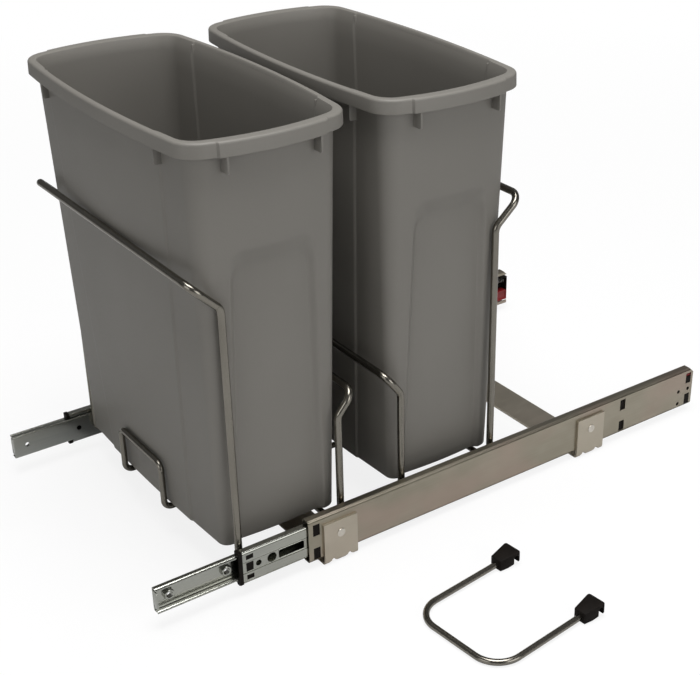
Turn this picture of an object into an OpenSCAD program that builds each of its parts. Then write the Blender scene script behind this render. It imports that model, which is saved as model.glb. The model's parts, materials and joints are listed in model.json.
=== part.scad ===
// Pull-out frame for two waste bins on a pair of ball-bearing slides.
// +Z is up, -Y is the side that is pulled out, X runs across the cabinet.
// The origin lies on the cabinet floor, in the middle of the four floor screws.
// The frame is shown partly pulled out, with its loose pull handle beside it.

/* [Cabinet rails] */
// Length of the fixed rails
rail_len = 500; // [470:5:560]
// Height of the fixed rails
rail_h = 46; // [45:0.5:50]
// Distance between the outer faces of the two fixed rails
rail_spread = 329.8; // [328:0.2:360]
// Gap between the cabinet floor and the underside of the rails
rail_lift = 7.5; // [5:0.5:12]
// Sheet thickness of the fixed rails
rail_gauge = 1.2; // [1:0.1:1.5]
// Depth of the fixed rail's channel
rail_depth = 10.5; // [10.5:0.1:11]
// Height of the lips that close the fixed rail's channel
rail_lip = 5.2; // [4:0.1:5.6]
// Outer bend radius of the fixed rail
rail_bend = 3; // [2:0.25:3.5]

/* [Floor straps] */
// Width of a strap, along the rails
strap_w = 36.6; // [30:0.2:44]
// Thickness of the strap and its tabs
strap_t = 2.5; // [1.5:0.1:3]
// Height of the turned-up tabs above the floor
tab_top = 44.5; // [40:0.5:48]
// Outer bend radius at the foot of a tab
tab_bend = 4; // [3.2:0.1:5]
// Front end of the rails to the middle of the front strap
front_strap_at = 33.5; // [28:0.5:60]
// Front end of the rails to the middle of the rear strap
rear_strap_at = 346.5; // [300:0.5:370]
// Distance between the two floor screws of a strap
screw_spread = 250; // [160:1:280]
// Diameter of the floor screw holes
screw_hole_d = 5.5; // [4:0.1:7]
// Diameter of the rivet shanks
rivet_d = 5; // [4:0.1:6]
// Diameter of the rivet heads
rivet_head_d = 8.6; // [7:0.1:10]

/* [Telescopic rails] */
// Length of the middle and inner rails
run_len = 400; // [380:1:404]
// Outside height of the middle rails
mid_h = 34; // [33.5:0.1:34.6]
// Sheet thickness of the middle rails
mid_gauge = 1; // [0.8:0.05:1.1]
// Depth of the middle rail's channel
mid_depth = 8; // [7.8:0.1:8.2]
// Outside height of the inner rails
inner_h = 24.8; // [24.2:0.1:25.4]
// Sheet thickness of the inner rails
inner_gauge = 1.2; // [0.9:0.05:1.3]
// Overall thickness of a slide, from cabinet face to cradle face
slide_t = 12.7; // [12.5:0.1:13.4]
// Running gap between a rail web and the ball cage behind it
cage_gap = 0.25; // [0.2:0.01:0.3]
// Sheet thickness of the ball cages
cage_t = 0.5; // [0.4:0.05:0.6]
// Length of a ball cage
cage_len = 100; // [90:1:110]
// Number of balls in one row of a cage
balls_per_row = 4; // [3:1:5]
// Running gap of a ball against its tracks
ball_gap = 0.05; // [0.03:0.01:0.08]
// Front end of the inner rail to the first and second bracket nut
nut_at = [13.9, 70.1];
// Bore of the bracket nuts
nut_bore_d = 5; // [4:0.1:5.5]
// Distance across the flats of the bracket nuts
nut_af = 9; // [8:0.1:10]

/* [Pulled position] */
// How far the inner rails stand out in front of the fixed rails
pull_out = 150.8; // [60:0.1:200]
// How far the right middle rail stands out
mid_out_right = 67.7; // [30:0.1:100]
// How far the left middle rail stands out
mid_out_left = 88; // [30:0.1:100]

/* [Wire cradle] */
// Diameter of the long cradle wire and the low loops
wire_d = 7; // [6:0.1:8]
// Diameter of the base wire and the cross wires
thin_wire_d = 6; // [5:0.1:7]
// Bend radius of the wires, at the middle of the wire
wire_bend = 12; // [10:0.5:14]
// Height of the side wires above the floor
side_wire_z = 22.6; // [22:0.1:24]
// Height of the tall crossbars above the floor
tall_bar_z = 306.4; // [260:0.2:330]
// How far the tall crossbars lean out past their uprights
tall_lean = 27; // [20:0.5:30]
// How far below the tall crossbars the uprights start to lean
tall_drop = 26.4; // [22:0.2:34]
// Height of the low crossbars above the floor
low_bar_z = 163; // [130:0.5:200]
// How far the low crossbars lean out past their uprights
low_lean = 16; // [12:0.2:17]
// How far below the low crossbars the uprights start to lean
low_drop = 21.8; // [19:0.2:28]
// How much wider a crossbar is than its uprights, on each side
bar_splay = 2.3; // [1:0.1:2.6]
// Length of a low loop's foot along the side wire
foot_len = 30; // [24:1:40]
// Half the distance between the two base wires
base_half = 41; // [34:0.5:50]
// Height of the hooks at the ends of the base wire
hook_z = 83.3; // [70:0.1:100]
// Bend radius of the base wire
hook_bend = 8; // [6:0.5:9]
// Gap that stands for a weld between two wires
weld_gap = 0.05; // [0.03:0.01:0.08]

/* [Bins] */
// Height of a bin
bin_h = 385; // [340:1:420]
// Front end of the inner rails to the middle of the front bin
bin_at = 139.3; // [134:0.1:150]
// Distance between the middles of the two bins
bin_pitch = 184.3; // [180:0.1:200]
// Gap between a bin's bottom and the uprights beside it
bin_side_gap = 6.15; // [5:0.05:14]
// Half width of a bin along the rails, at its bottom
bin_foot_b = 63; // [58:0.5:66]
// How much longer a bin is under its rim than at its bottom, on each side
bin_flare_a = 16.5; // [10:0.5:17]
// Half width of a bin under its rim
bin_head_b = 77.5; // [74:0.5:79]
// Wall thickness of a bin
bin_wall = 2.4; // [1.8:0.1:3]
// Height of the rim band
rim_h = 13; // [9:0.5:18]
// Overhang of the rim on the long sides
rim_long = 8; // [5:0.25:9]
// Overhang of the rim on the narrow sides
rim_narrow = 10.5; // [7:0.25:12]
// Width of the rim's flat top on the long sides
rim_flat_long = 7.5; // [5:0.25:8]
// Width of the rim's flat top on the narrow sides
rim_flat_narrow = 12; // [9:0.25:13]
// How far the long faces' middle panels stand proud
panel_proud = 1.3; // [0.8:0.1:2]
// How deep the narrow faces' panels are sunk
panel_sunk = 4; // [2:0.1:4.5]
// Half width of the long faces' panels at the bottom
long_panel_foot = 79; // [70:0.5:84]
// Half width of the long faces' panels under the rim
long_panel_head = 105; // [95:0.5:110]
// Half width of the narrow faces' panels at the bottom
narrow_panel_foot = 48; // [30:0.5:49]
// Half width of the narrow faces' panels, carried on up to the rim
narrow_panel_head = 38.5; // [34:0.5:48]
// Height of the narrow panels' top edge above the bin's bottom
narrow_panel_z = 288; // [220:1:300]
// Half width of the grips on the narrow ends of the rim
grip_half = 49.5; // [40:0.5:52]
// How far the grips stand out past the rim's corners
grip_proud = 2; // [0.5:0.1:3]
// Gap between a bin and the wires around and under it
bin_gap = 0.6; // [0.5:0.1:2]

/* [Closers] */
// Length of a closer's tray at the rear of a fixed rail
tray_len = 95; // [92:0.5:95.5]
// Height of a closer's tray
tray_h = 31; // [30:0.5:34]
// Wall thickness of a closer's tray
tray_wall = 1.2; // [1:0.1:1.4]
// Travel of the catch in its tray
catch_travel = 30; // [20:0.5:31]
// Diameter of the damper tube
damper_d = 8; // [7.6:0.1:8.4]

/* [Pull handle] */
// Distance between the two legs of the loose handle
handle_w = 103.4; // [80:0.2:130]
// Length of the handle's legs up to their clips
handle_leg = 101.5; // [70:0.5:130]
// Bend radius of the handle's wire
handle_bend = 26; // [18:0.5:32]
// Where the middle of the handle's crossbar lies on the floor, across
handle_x = 326; // [300:1:360]
// Where the middle of the handle's crossbar lies behind the rails' front
handle_y = 42.8; // [20:0.2:80]
// How far the handle is turned on the floor, in degrees
handle_turn = 5.6; // [0:0.1:8]

/* [Hidden] */
$fn = 40;
STEEL = "#958f85";
ZINC = "#a5aaa8";
NICKEL = "#6c6963";
RESIN = "#6f6c67";
RIM = "#76736e";
BLACK = "#1d1a18";
RED = "#8c1f1e";
// Cut length past a face
past = 1;
// Fixed rail: places in the frame
rail_face = rail_spread / 2;
rail_z = rail_lift + rail_h / 2;
rail_y = -(front_strap_at + rear_strap_at) / 2;
tab_face = rail_face + strap_t;
// Holes punched in the rail webs
punch_w = 7.4;
punch_h = 12.4;
punch_z = [11.3, -14.3];
punch_at = [8.4, 393.6, rail_len - 7];
plug_sunk = 0.3;
plug_open = 4;
rail_pips = [[rail_len - 6.4, -2], [rail_len - 20.8, -2], [rail_len - 20.8, -17]];
pip_d = 4.2;
rail_nip = 8;
// Middle rail
mid_d = rail_gauge + 2 * cage_gap + cage_t;
mid_r = 2;
mid_lip = 4;
mid_band = 5.5;
mid_band_t = 0.3;
slot_len = 27;
slot_h = 8.6;
slot_at = 37;
eye_d = 9.6;
eye_at = 30;
pin_eye_d = 5.8;
pin_eye_at = 16.2;
window_w = 7.3;
window_at = 7.2;
window_h = 4.6;
window_off = 10.6;
bumper_len = 11.5;
bumper_nose = 3.5;
bumper_nub = 1.2;
bumper_clear = 0.4;
// Ball rows
outer_gap = rail_h / 2 - rail_gauge - mid_h / 2;
outer_ball_r = outer_gap / 2 - ball_gap;
outer_ball_z = mid_h / 2 + outer_gap / 2;
outer_ball_d = rail_gauge + (rail_depth - 2 * rail_gauge) * 0.6;
inner_gap = mid_h / 2 - mid_gauge - inner_h / 2;
inner_ball_r = inner_gap / 2 - ball_gap;
inner_ball_z = inner_h / 2 + inner_gap / 2;
inner_cage_d = mid_d + mid_gauge + cage_gap;
inner_ball_d = mid_d + mid_gauge + (mid_depth - 2 * mid_gauge) * 0.6;
pocket_gap = 0.1;
arm_t = 1;
arm_reach = 2.7;
arm_clear = 0.3;
ball_step = cage_len / balls_per_row;
cage_at = run_len / 2;
// Inner rail
inner_y = rail_y - pull_out;
inner_end = inner_y + run_len;
inner_r = 1.5;
inner_tip = inner_cage_d + cage_t + 0.85;
inner_web = slide_t - inner_gauge;
end_tab_h = 18;
end_tab_t = 1.5;
end_tab_reach = 4;
nut_h = 3.4;
nut_shank_d = 6.3;
nut_fit = 0.02;
tongue_h = 4;
tongue_t = 1.5;
tongue_reach = 40;
tongue_root = 25;
// Wires
wire_lap = 0.6;
wire_draw = 0.05;
rod_roll = 37;
wire_r = wire_d / 2;
thin_r = thin_wire_d / 2;
wire_x = rail_face - slide_t - weld_gap - wire_r;
bar_x = wire_x + bar_splay;
cross_z = side_wire_z + wire_r + weld_gap + thin_r;
base_z = cross_z + 2 * thin_r + weld_gap;
cross_x = rail_face - slide_t - 3 * weld_gap;
// Bins
bin_foot_a = wire_x - wire_r - bin_side_gap;
bin_head_a = bin_foot_a + bin_flare_a;
bin_z = base_z + thin_r + 0.3;
bin_top = bin_z + bin_h;
rim_z = bin_top - rim_h;
bin_y = [inner_y + bin_at, inner_y + bin_at + bin_pitch];
bow_foot = 3;
bow_head = 7.5;
bin_r_foot = 10;
bin_r_head = 19;
rim_r = 27;
rim_round = 2.5;
foot_round = 3;
ledge_h = 17;
long_edge = 3;
narrow_edge = 6;
grip_edge = 1;
corner_steps = 6;
function rise(z) = (z - bin_z) / (rim_z - bin_z);
function blend(p, q, z) = p + (q - p) * rise(z);
function bin_b(z) = blend(bin_foot_b, bin_head_b, z) + panel_proud;
// Wire places that follow the bins
tall_front_y = bin_y[0] - bin_b(tall_bar_z) - wire_r - bin_gap;
tall_rear_y = bin_y[1] + bin_b(tall_bar_z) + wire_r + bin_gap;
low_y = [bin_y[0] + bin_b(low_bar_z) + wire_r + bin_gap, bin_y[1] - bin_b(low_bar_z) - wire_r - bin_gap];
hook_y = [bin_y[0] - bin_b(hook_z) - thin_r - bin_gap, bin_y[1] + bin_b(hook_z) + thin_r + bin_gap];
cross_tuck = 2;
// Closers
tray_y = rail_y + rail_len - 1 - tray_len;
tray_end = tray_y + tray_len;
tray_floor = rail_gauge + tray_wall;
tray_top = slide_t - 1.1;
tray_lead = 27;
tray_lead_t = 0.6;
tray_lead_h = 39.6;
clip_len = 15;
clip_low = 3;
gate_h = 8.4;
catch_gap = 0.3;
catch_len = 18;
catch_h = 7.4;
catch_top = tray_top - 0.3;
fork_floor = inner_web - tongue_t - 0.5;
fork_h = tongue_h + 1;
catch_arm_len = 5;
catch_arm_z = 11.5;
damper_z = 9.5;
damper_bore_d = 5.8;
damper_len = 40;
damper_wall = 1.5;
piston_d = 5.4;
piston_len = 2.5;
rod_d = 2.4;
rod_hole_d = 2.6;
spring_d = 6;
spring_bore_d = 4.4;
catch_y = tray_y + tray_wall + catch_gap;
clip_y = tray_end - clip_len;
damper_y = clip_y - damper_len;
damper_d0 = tray_floor + weld_gap + damper_d / 2;
// Handle and clips
handle_z = thin_r;
clip_floor = 1.6;
clip_w = [12.8, 20.6];
clip_h = [11.4, 13.8];
clip_l = 23.2;
clip_heel = 9;
clip_rise = 3.5;
clip_lip = 2.6;
clip_throat = 5.2;
clip_throat_top = 10.6;
clip_grip = 9;
clip_chamfer = 1.6;
clip_corner = 3;
handle_tilt = asin(clip_floor / handle_leg);

// Frames and plain shapes
// A slide's own frame: the web's outer face is at x 0, the channel runs to -x, z 0 is mid height.
// The left slide is the same slide turned half a turn about Y.
module slide_frame(side) {
  translate([side * rail_face, 0, rail_z])
    rotate([0, side > 0 ? 0 : 180, 0])
      children();
}

// Extrudes a section drawn in x and z from y, towards +Y.
module along_y(y, len) {
  translate([0, y + len, 0])
    rotate([90, 0, 0])
      linear_extrude(len)
        children();
}

// A block in a slide's frame, by its depth, y and z limits.
module slab(d, y, z) {
  translate([-d[1], y[0], z[0]])
    cube([d[1] - d[0], y[1] - y[0], z[1] - z[0]]);
}

// A round bar along x in a slide's frame, between two depths.
module stud(d, y, z, r) {
  translate([-d[1], y, z])
    rotate([0, 90, 0])
      cylinder(h = d[1] - d[0], r = r);
}

// A round bar along y in a slide's frame.
module spindle(d, y, z, r) {
  translate([-d, y[1], z])
    rotate([90, 0, 0])
      cylinder(h = y[1] - y[0], r = r);
}

module rounded_square(size, r) {
  translate([r, 0])
    square([size[0] - 2 * r, size[1]]);
  translate([0, r])
    square([size[0], size[1] - 2 * r]);
  for (x = [r, size[0] - r])
    for (y = [r, size[1] - r])
      translate([x, y])
        circle(r);
}

// A lipped channel that opens to -x, with its web's outer face at depth d.
module channel(d, depth, h, gauge, r, lip) {
  difference() {
    translate([-d - depth, -h / 2])
      rounded_square([depth, h], r);
    translate([-d - depth + gauge, -h / 2 + gauge])
      rounded_square([depth - 2 * gauge, h - 2 * gauge], r - gauge + 0.01);
    translate([-d - depth - past, -h / 2 + lip])
      square([depth / 2 + past, h - 2 * lip]);
  }
}

// Fixed rails, straps and rivets
module outer_rail(side) {
  color(STEEL)
    slide_frame(side)
      difference() {
        along_y(rail_y, rail_len)
          channel(0, rail_depth, rail_h, rail_gauge, rail_bend, rail_lip);
        for (at = punch_at)
          for (z = punch_z)
            slab([-past, rail_gauge + past],
              [rail_y + at - punch_w / 2, rail_y + at + punch_w / 2],
              [side * z - punch_h / 2, side * z + punch_h / 2]);
        for (p = rail_pips)
          stud([-past, rail_gauge + past], rail_y + p[0], side * p[1], pip_d / 2);
        for (at = [front_strap_at, rear_strap_at])
          stud([-past, rail_gauge + past], rail_y + at, 0, rivet_d / 2);
        translate([0, rail_y + rail_len, side * rail_h / 2])
          rotate([45, 0, 0])
            cube([2 * rail_depth + 2 * past, rail_nip, rail_nip], center = true);
      }
}

module strap_section(grow, top) {
  half = tab_face - grow;
  r = tab_bend - grow;
  translate([-half, grow + r])
    square([2 * half, top - grow - r]);
  translate([-half + r, grow])
    square([2 * (half - r), r + past]);
  for (s = [-1, 1])
    translate([s * (half - r), grow + r])
      circle(r);
}

module floor_strap(at) {
  relief_r = 2;
  relief_off = 9;
  color(STEEL)
    difference() {
      along_y(rail_y + at - strap_w / 2, strap_w)
        difference() {
          strap_section(0, tab_top);
          strap_section(strap_t, tab_top + past);
        }
      for (s = [-1, 1])
        translate([s * screw_spread / 2, rail_y + at, -past])
          cylinder(h = strap_t + 2 * past, d = screw_hole_d);
      for (s = [-1, 1])
        translate([s * tab_face - strap_t - past, rail_y + at, rail_z])
          rotate([0, 90, 0])
            cylinder(h = 2 * (strap_t + past), d = rivet_d);
      for (s = [-1, 1])
        for (o = [-1, 1])
          translate([s * tab_face - strap_t - past, rail_y + at + o * relief_off, relief_r + 1])
            rotate([0, 90, 0])
              cylinder(h = 2 * (strap_t + past), r = relief_r);
    }
}

module strap_rivets() {
  head_t = 1.2;
  color(ZINC)
    for (side = [1, -1])
      for (at = [front_strap_at, rear_strap_at])
        slide_frame(side) {
          stud([-strap_t - head_t / 2, rail_gauge], rail_y + at, 0, rivet_d / 2);
          translate([strap_t, rail_y + at, 0])
            rotate([0, 90, 0])
              cylinder(h = head_t, r1 = rivet_head_d / 2, r2 = rivet_head_d / 3);
        }
}

// Plugs in the windows at both ends of the fixed rails. The upper window at the rear is open at its top.
module rail_plugs() {
  color(BLACK)
    for (side = [1, -1])
      for (at = [punch_at[0], punch_at[2]])
        for (z = punch_z) {
          low = z - punch_h / 2 + nut_fit;
          open = at == punch_at[2] && z > 0;
          high = z + punch_h / 2 - (open ? plug_open : nut_fit);
          slide_frame(side)
            slab([plug_sunk, rail_gauge],
              [rail_y + at - punch_w / 2 + nut_fit, rail_y + at + punch_w / 2 - nut_fit],
              side > 0 ? [low, high] : [-high, -low]);
        }
}

// Middle rails and their front bumpers
function mid_out(side) = side > 0 ? mid_out_right : mid_out_left;
function mid_y(side) = rail_y - mid_out(side);

module mid_rail(side) {
  y = mid_y(side);
  web = [mid_d - past, mid_d + mid_gauge + past];
  color(ZINC)
    slide_frame(side)
      difference() {
        along_y(y, run_len)
          channel(mid_d, mid_depth, mid_h, mid_gauge, mid_r, mid_lip);
        slab([mid_d - past, mid_d + mid_band_t], [y - past, y + run_len + past], [-mid_band, mid_band]);
        for (s = [-1, 0, 1])
          slab(web, [y + window_at - window_w / 2, y + window_at + window_w / 2],
            s == 0 ? [-window_h, window_h]
              : [s * window_off - window_h / 2, s * window_off + window_h / 2]);
        stud(web, y + pin_eye_at, 0, pin_eye_d / 2);
        stud(web, y + eye_at, 0, eye_d / 2);
        slab(web, [y + slot_at, y + slot_at + slot_len], [-slot_h / 2, slot_h / 2]);
      }
}

// A collar before the rail's end, with pads that reach into the channel and a nub under the collar.
module mid_bumper(side) {
  y = mid_y(side);
  reach = [y - bumper_nose, y + bumper_len];
  nose = [y - bumper_nose, y - weld_gap];
  back = mid_d + mid_gauge;
  face = mid_h / 2 - mid_gauge;
  throat = inner_h / 2 + bumper_clear;
  color(BLACK)
    slide_frame(side) {
      slab([back, inner_tip - bumper_clear], reach, [-face + 1, face - 1]);
      slab([mid_d, inner_tip - bumper_clear], nose, [-mid_h / 2, mid_h / 2]);
      for (s = [-1, 1]) {
        slab([back + mid_r - mid_gauge + 0.05, mid_d + mid_depth - mid_r], reach,
          s > 0 ? [throat, face] : [-face, -throat]);
        slab([mid_d, mid_d + mid_depth], nose,
          s > 0 ? [throat, mid_h / 2] : [-mid_h / 2, -throat]);
      }
      slab([mid_d + mid_r, mid_d + mid_depth - mid_r], nose,
        side > 0 ? [-mid_h / 2 - bumper_nub, -throat] : [throat, mid_h / 2 + bumper_nub]);
    }
}

// Ball cages and balls
function outer_cage_y(side) = rail_y + cage_at - mid_out(side) / 2;
function inner_cage_y(side) = rail_y + cage_at - (mid_out(side) + pull_out) / 2;
function ball_at(i) = (i - (balls_per_row - 1) / 2) * ball_step;

// A cage: a strip behind the web with an arm over each row of balls, and a pocket for each ball.
module ball_cage(d, y, ball_d, ball_z, ball_r, arm_end) {
  arm_z = ball_z + arm_t / 2;
  difference() {
    union() {
      slab([d, d + cage_t], [y - cage_len / 2, y + cage_len / 2], [-arm_z, arm_z]);
      for (s = [-1, 1])
        slab([d, arm_end], [y - cage_len / 2, y + cage_len / 2],
          [s * ball_z - arm_t / 2, s * ball_z + arm_t / 2]);
    }
    for (s = [-1, 1])
      for (i = [0 : balls_per_row - 1])
        translate([-ball_d, y + ball_at(i), s * ball_z])
          cylinder(h = arm_t + 2 * past, r = ball_r + pocket_gap, center = true);
  }
}

module ball_rows(y, ball_d, ball_z, ball_r) {
  for (s = [-1, 1])
    for (i = [0 : balls_per_row - 1])
      translate([-ball_d, y + ball_at(i), s * ball_z])
        sphere(ball_r);
}

module outer_cage(side) {
  color(ZINC)
    slide_frame(side)
      ball_cage(rail_gauge + cage_gap, outer_cage_y(side), outer_ball_d, outer_ball_z, outer_ball_r,
        rail_depth - rail_gauge - arm_clear);
}

module outer_balls(side) {
  color("silver")
    slide_frame(side)
      ball_rows(outer_cage_y(side), outer_ball_d, outer_ball_z, outer_ball_r);
}

module inner_cage(side) {
  color(ZINC)
    slide_frame(side)
      ball_cage(inner_cage_d, inner_cage_y(side), inner_ball_d, inner_ball_z, inner_ball_r,
        mid_d + mid_depth - mid_gauge - arm_clear);
}

module inner_balls(side) {
  color("silver")
    slide_frame(side)
      ball_rows(inner_cage_y(side), inner_ball_d, inner_ball_z, inner_ball_r);
}

// Inner rails, bracket nuts and closer tongues
module inner_rail(side) {
  color(ZINC)
    slide_frame(side)
      difference() {
        union() {
          along_y(inner_y, run_len)
            difference() {
              translate([-slide_t, -inner_h / 2])
                rounded_square([slide_t - inner_tip, inner_h], inner_r);
              translate([-inner_web, -inner_h / 2 + inner_gauge])
                square([slide_t, inner_h - 2 * inner_gauge]);
            }
          slab([inner_web - end_tab_reach, inner_web + inner_gauge / 2], [inner_y, inner_y + end_tab_t],
            [-end_tab_h / 2, end_tab_h / 2]);
        }
        for (at = nut_at)
          stud([inner_web - past, slide_t + past], inner_y + at, 0, nut_shank_d / 2);
      }
}

module bracket_nuts() {
  color(ZINC)
    for (side = [1, -1])
      for (at = nut_at)
        slide_frame(side)
          difference() {
            union() {
              translate([-inner_web, inner_y + at, 0])
                rotate([0, 90, 0])
                  cylinder(h = nut_h, d = nut_af / cos(30), $fn = 6);
              stud([inner_web - nut_h / 2, slide_t], inner_y + at, 0, nut_shank_d / 2 - nut_fit);
            }
            stud([inner_web - nut_h - past, slide_t + past], inner_y + at, 0, nut_bore_d / 2);
          }
}

module tongue(side) {
  color(ZINC)
    slide_frame(side)
      slab([inner_web - tongue_t, inner_web], [inner_end - tongue_root, inner_end + tongue_reach],
        [-tongue_h / 2, tongue_h / 2]);
}

// Bent wires
function unit(v) = v / norm(v);
function spot(pts, i) = pts[(i + len(pts)) % len(pts)];
function heading(pts, i) = unit(spot(pts, i + 1) - spot(pts, i));
function turning(pts, i) = acos(heading(pts, i - 1) * heading(pts, i));
function trim(pts, i, bend) = bend * tan(turning(pts, i) / 2);

module rod(from, to, r) {
  v = to - from;
  translate(from)
    rotate([0, acos(v[2] / norm(v)), atan2(v[1], v[0])])
      rotate([0, 0, rod_roll])
        cylinder(h = norm(v), r = r);
}

module elbow(pts, i, r, bend) {
  into = heading(pts, i - 1);
  out = heading(pts, i);
  start = spot(pts, i) - into * trim(pts, i, bend);
  axis = unit(cross(into, out));
  inward = cross(axis, into);
  hub = start + inward * bend;
  multmatrix([
    [-inward[0], into[0], axis[0], hub[0]],
    [-inward[1], into[1], axis[1], hub[1]],
    [-inward[2], into[2], axis[2], hub[2]],
    [0, 0, 0, 1]
  ])
    rotate_extrude(angle = turning(pts, i))
      translate([bend, 0])
        circle(r);
}

// A wire along a list of corners, rounded at each one; a closed wire joins its last corner to its first.
// The straight runs are a hair thinner than the bends, and end just inside them.
module bent_wire(pts, r, bend, closed) {
  n = len(pts);
  for (i = [0 : closed ? n - 1 : n - 2]) {
    head = closed || i > 0 ? trim(pts, i, bend) - wire_lap : 0;
    tail = closed || i < n - 2 ? trim(pts, i + 1, bend) - wire_lap : 0;
    rod(spot(pts, i) + heading(pts, i) * head, spot(pts, i + 1) - heading(pts, i) * tail, r - wire_draw);
  }
  for (i = [closed ? 0 : 1 : closed ? n - 1 : n - 2])
    elbow(pts, i, r, bend);
}

// The long wire: a tall loop before the front bin, a side wire along each inner rail, a tall loop behind.
module cradle_wire() {
  kink_z = tall_bar_z - tall_drop;
  front = [[bar_x, tall_front_y, tall_bar_z], [wire_x, tall_front_y + tall_lean, kink_z],
    [wire_x, tall_front_y + tall_lean, side_wire_z]];
  rear = [[wire_x, tall_rear_y - tall_lean, side_wire_z], [wire_x, tall_rear_y - tall_lean, kink_z],
    [bar_x, tall_rear_y, tall_bar_z]];
  right = concat(front, rear);
  left = [for (i = [len(right) - 1 : -1 : 0]) [-right[i][0], right[i][1], right[i][2]]];
  color(NICKEL)
    bent_wire(concat(right, left), wire_r, wire_bend, true);
}

// A low loop against one bin: its feet lie along the side wires.
module low_loop(i) {
  lean = i == 0 ? low_lean : -low_lean;
  upright_y = low_y[i] - lean;
  foot_z = side_wire_z + wire_d + weld_gap;
  right = [[wire_x, upright_y + foot_len, foot_z], [wire_x, upright_y, foot_z],
    [wire_x, upright_y, low_bar_z - low_drop], [bar_x, low_y[i], low_bar_z]];
  left = [for (k = [len(right) - 1 : -1 : 0]) [-right[k][0], right[k][1], right[k][2]]];
  color(NICKEL)
    bent_wire(concat(right, left), wire_r, wire_bend, false);
}

// The front cross wire lies across the side wires, the rear one ends at the foot of the rear uprights.
module cross_wires() {
  front_y = low_y[0] - low_lean - wire_r - thin_r - bin_gap;
  rear_y = tall_rear_y - tall_lean - cross_tuck;
  rear_x = wire_x - wire_r - weld_gap;
  color(NICKEL) {
    rod([-cross_x, front_y, cross_z], [cross_x, front_y, cross_z], thin_r);
    rod([-rear_x, rear_y, cross_z], [rear_x, rear_y, cross_z], thin_r);
  }
}

// The base wire: two runs under the bins, hooked up before the front bin and behind the rear bin.
module base_wire() {
  front = [[-base_half, hook_y[0], base_z], [-base_half, hook_y[0], hook_z],
    [base_half, hook_y[0], hook_z], [base_half, hook_y[0], base_z]];
  rear = [[base_half, hook_y[1], base_z], [base_half, hook_y[1], hook_z],
    [-base_half, hook_y[1], hook_z], [-base_half, hook_y[1], base_z]];
  color(NICKEL)
    bent_wire(concat(front, rear), thin_r, hook_bend, true);
}

// Bins
// One quarter of a bin's outline: half sizes a and b, bowed sides, corner radius r,
// a long panel that stands proud by p within lp, a narrow panel sunk by q within np, its edge ne wide.
function quarter(a, b, bow, r, p, lp, q, np, ne) =
  let (
    turn_a = atan(2 * bow / (b - bow - r)),
    turn_b = 90 - atan(2 * bow / (a - bow - r)),
    end_y = b - bow - r * (sin(turn_b) - sin(turn_a)),
    end_x = a - bow - r * (cos(turn_a) - cos(turn_b)),
    hub = [a - bow - r * cos(turn_a), end_y - r * sin(turn_a)],
    half = min(np, end_y - 1),
    narrow_y = [0, (half - ne) / 2, half - ne, half],
    long_x = [lp + long_edge, lp, lp / 2, 0]
  )
  concat(
    [for (i = [0 : 3]) [a - bow * pow(narrow_y[i] / end_y, 2) - (i < 3 ? q : 0), narrow_y[i]]],
    [for (i = [0 : corner_steps])
      let (t = turn_a + (turn_b - turn_a) * i / corner_steps)
      hub + r * [cos(t), sin(t)]],
    [for (i = [0 : 3]) [long_x[i], b - bow * pow(long_x[i] / end_x, 2) + (i > 0 ? p : 0)]]
  );

function ring(quarter_pts, y, z) =
  let (n = len(quarter_pts))
  [
    for (p = quarter_pts) [p[0], y + p[1], z],
    for (i = [n - 2 : -1 : 0]) [-quarter_pts[i][0], y + quarter_pts[i][1], z],
    for (i = [1 : n - 1]) [-quarter_pts[i][0], y - quarter_pts[i][1], z],
    for (i = [n - 2 : -1 : 1]) [quarter_pts[i][0], y - quarter_pts[i][1], z]
  ];

// The body's outline at height z, moved in by inset; sunk is the share of the narrow panel's depth.
function body_ring(y, z, inset, sunk) =
  ring(quarter(blend(bin_foot_a, bin_head_a, z) - inset, blend(bin_foot_b, bin_head_b, z) - inset,
    blend(bow_foot, bow_head, z), blend(bin_r_foot, bin_r_head, z) - inset,
    panel_proud, blend(long_panel_foot, long_panel_head, z),
    sunk * panel_sunk, blend(narrow_panel_foot, narrow_panel_head, z), narrow_edge), y, z);

// The rim's outline, moved in by inset on the long sides and by inset_a on the narrow sides;
// grip is how far its narrow ends stand out past its corners.
function rim_ring(y, z, inset, inset_a, grip) =
  ring(quarter(bin_head_a + rim_narrow - inset_a - grip, bin_head_b + rim_long - inset, bow_head,
    rim_r - inset, 0, long_panel_head, -grip, grip_half, grip_edge), y, z);

function bin_rings(y) =
  let (
    inner_foot = bin_z + bin_wall,
    ledge = bin_z + narrow_panel_z
  )
  [
    body_ring(y, bin_z, foot_round, 1),
    body_ring(y, bin_z + foot_round, 0, 1),
    body_ring(y, ledge - ledge_h, 0, 1),
    body_ring(y, ledge, 0, 0),
    body_ring(y, rim_z, 0, 0),
    rim_ring(y, rim_z, 0, 0, grip_proud),
    rim_ring(y, bin_top - rim_round, 0, 0, grip_proud),
    rim_ring(y, bin_top, rim_round, rim_round, grip_proud),
    rim_ring(y, bin_top, rim_flat_long, rim_flat_narrow, 0),
    body_ring(y, rim_z, bin_wall, 0),
    body_ring(y, ledge, bin_wall, 0),
    body_ring(y, ledge - ledge_h, bin_wall, 1),
    body_ring(y, inner_foot + foot_round, bin_wall, 1),
    body_ring(y, inner_foot, bin_wall + foot_round, 1)
  ];

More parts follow.
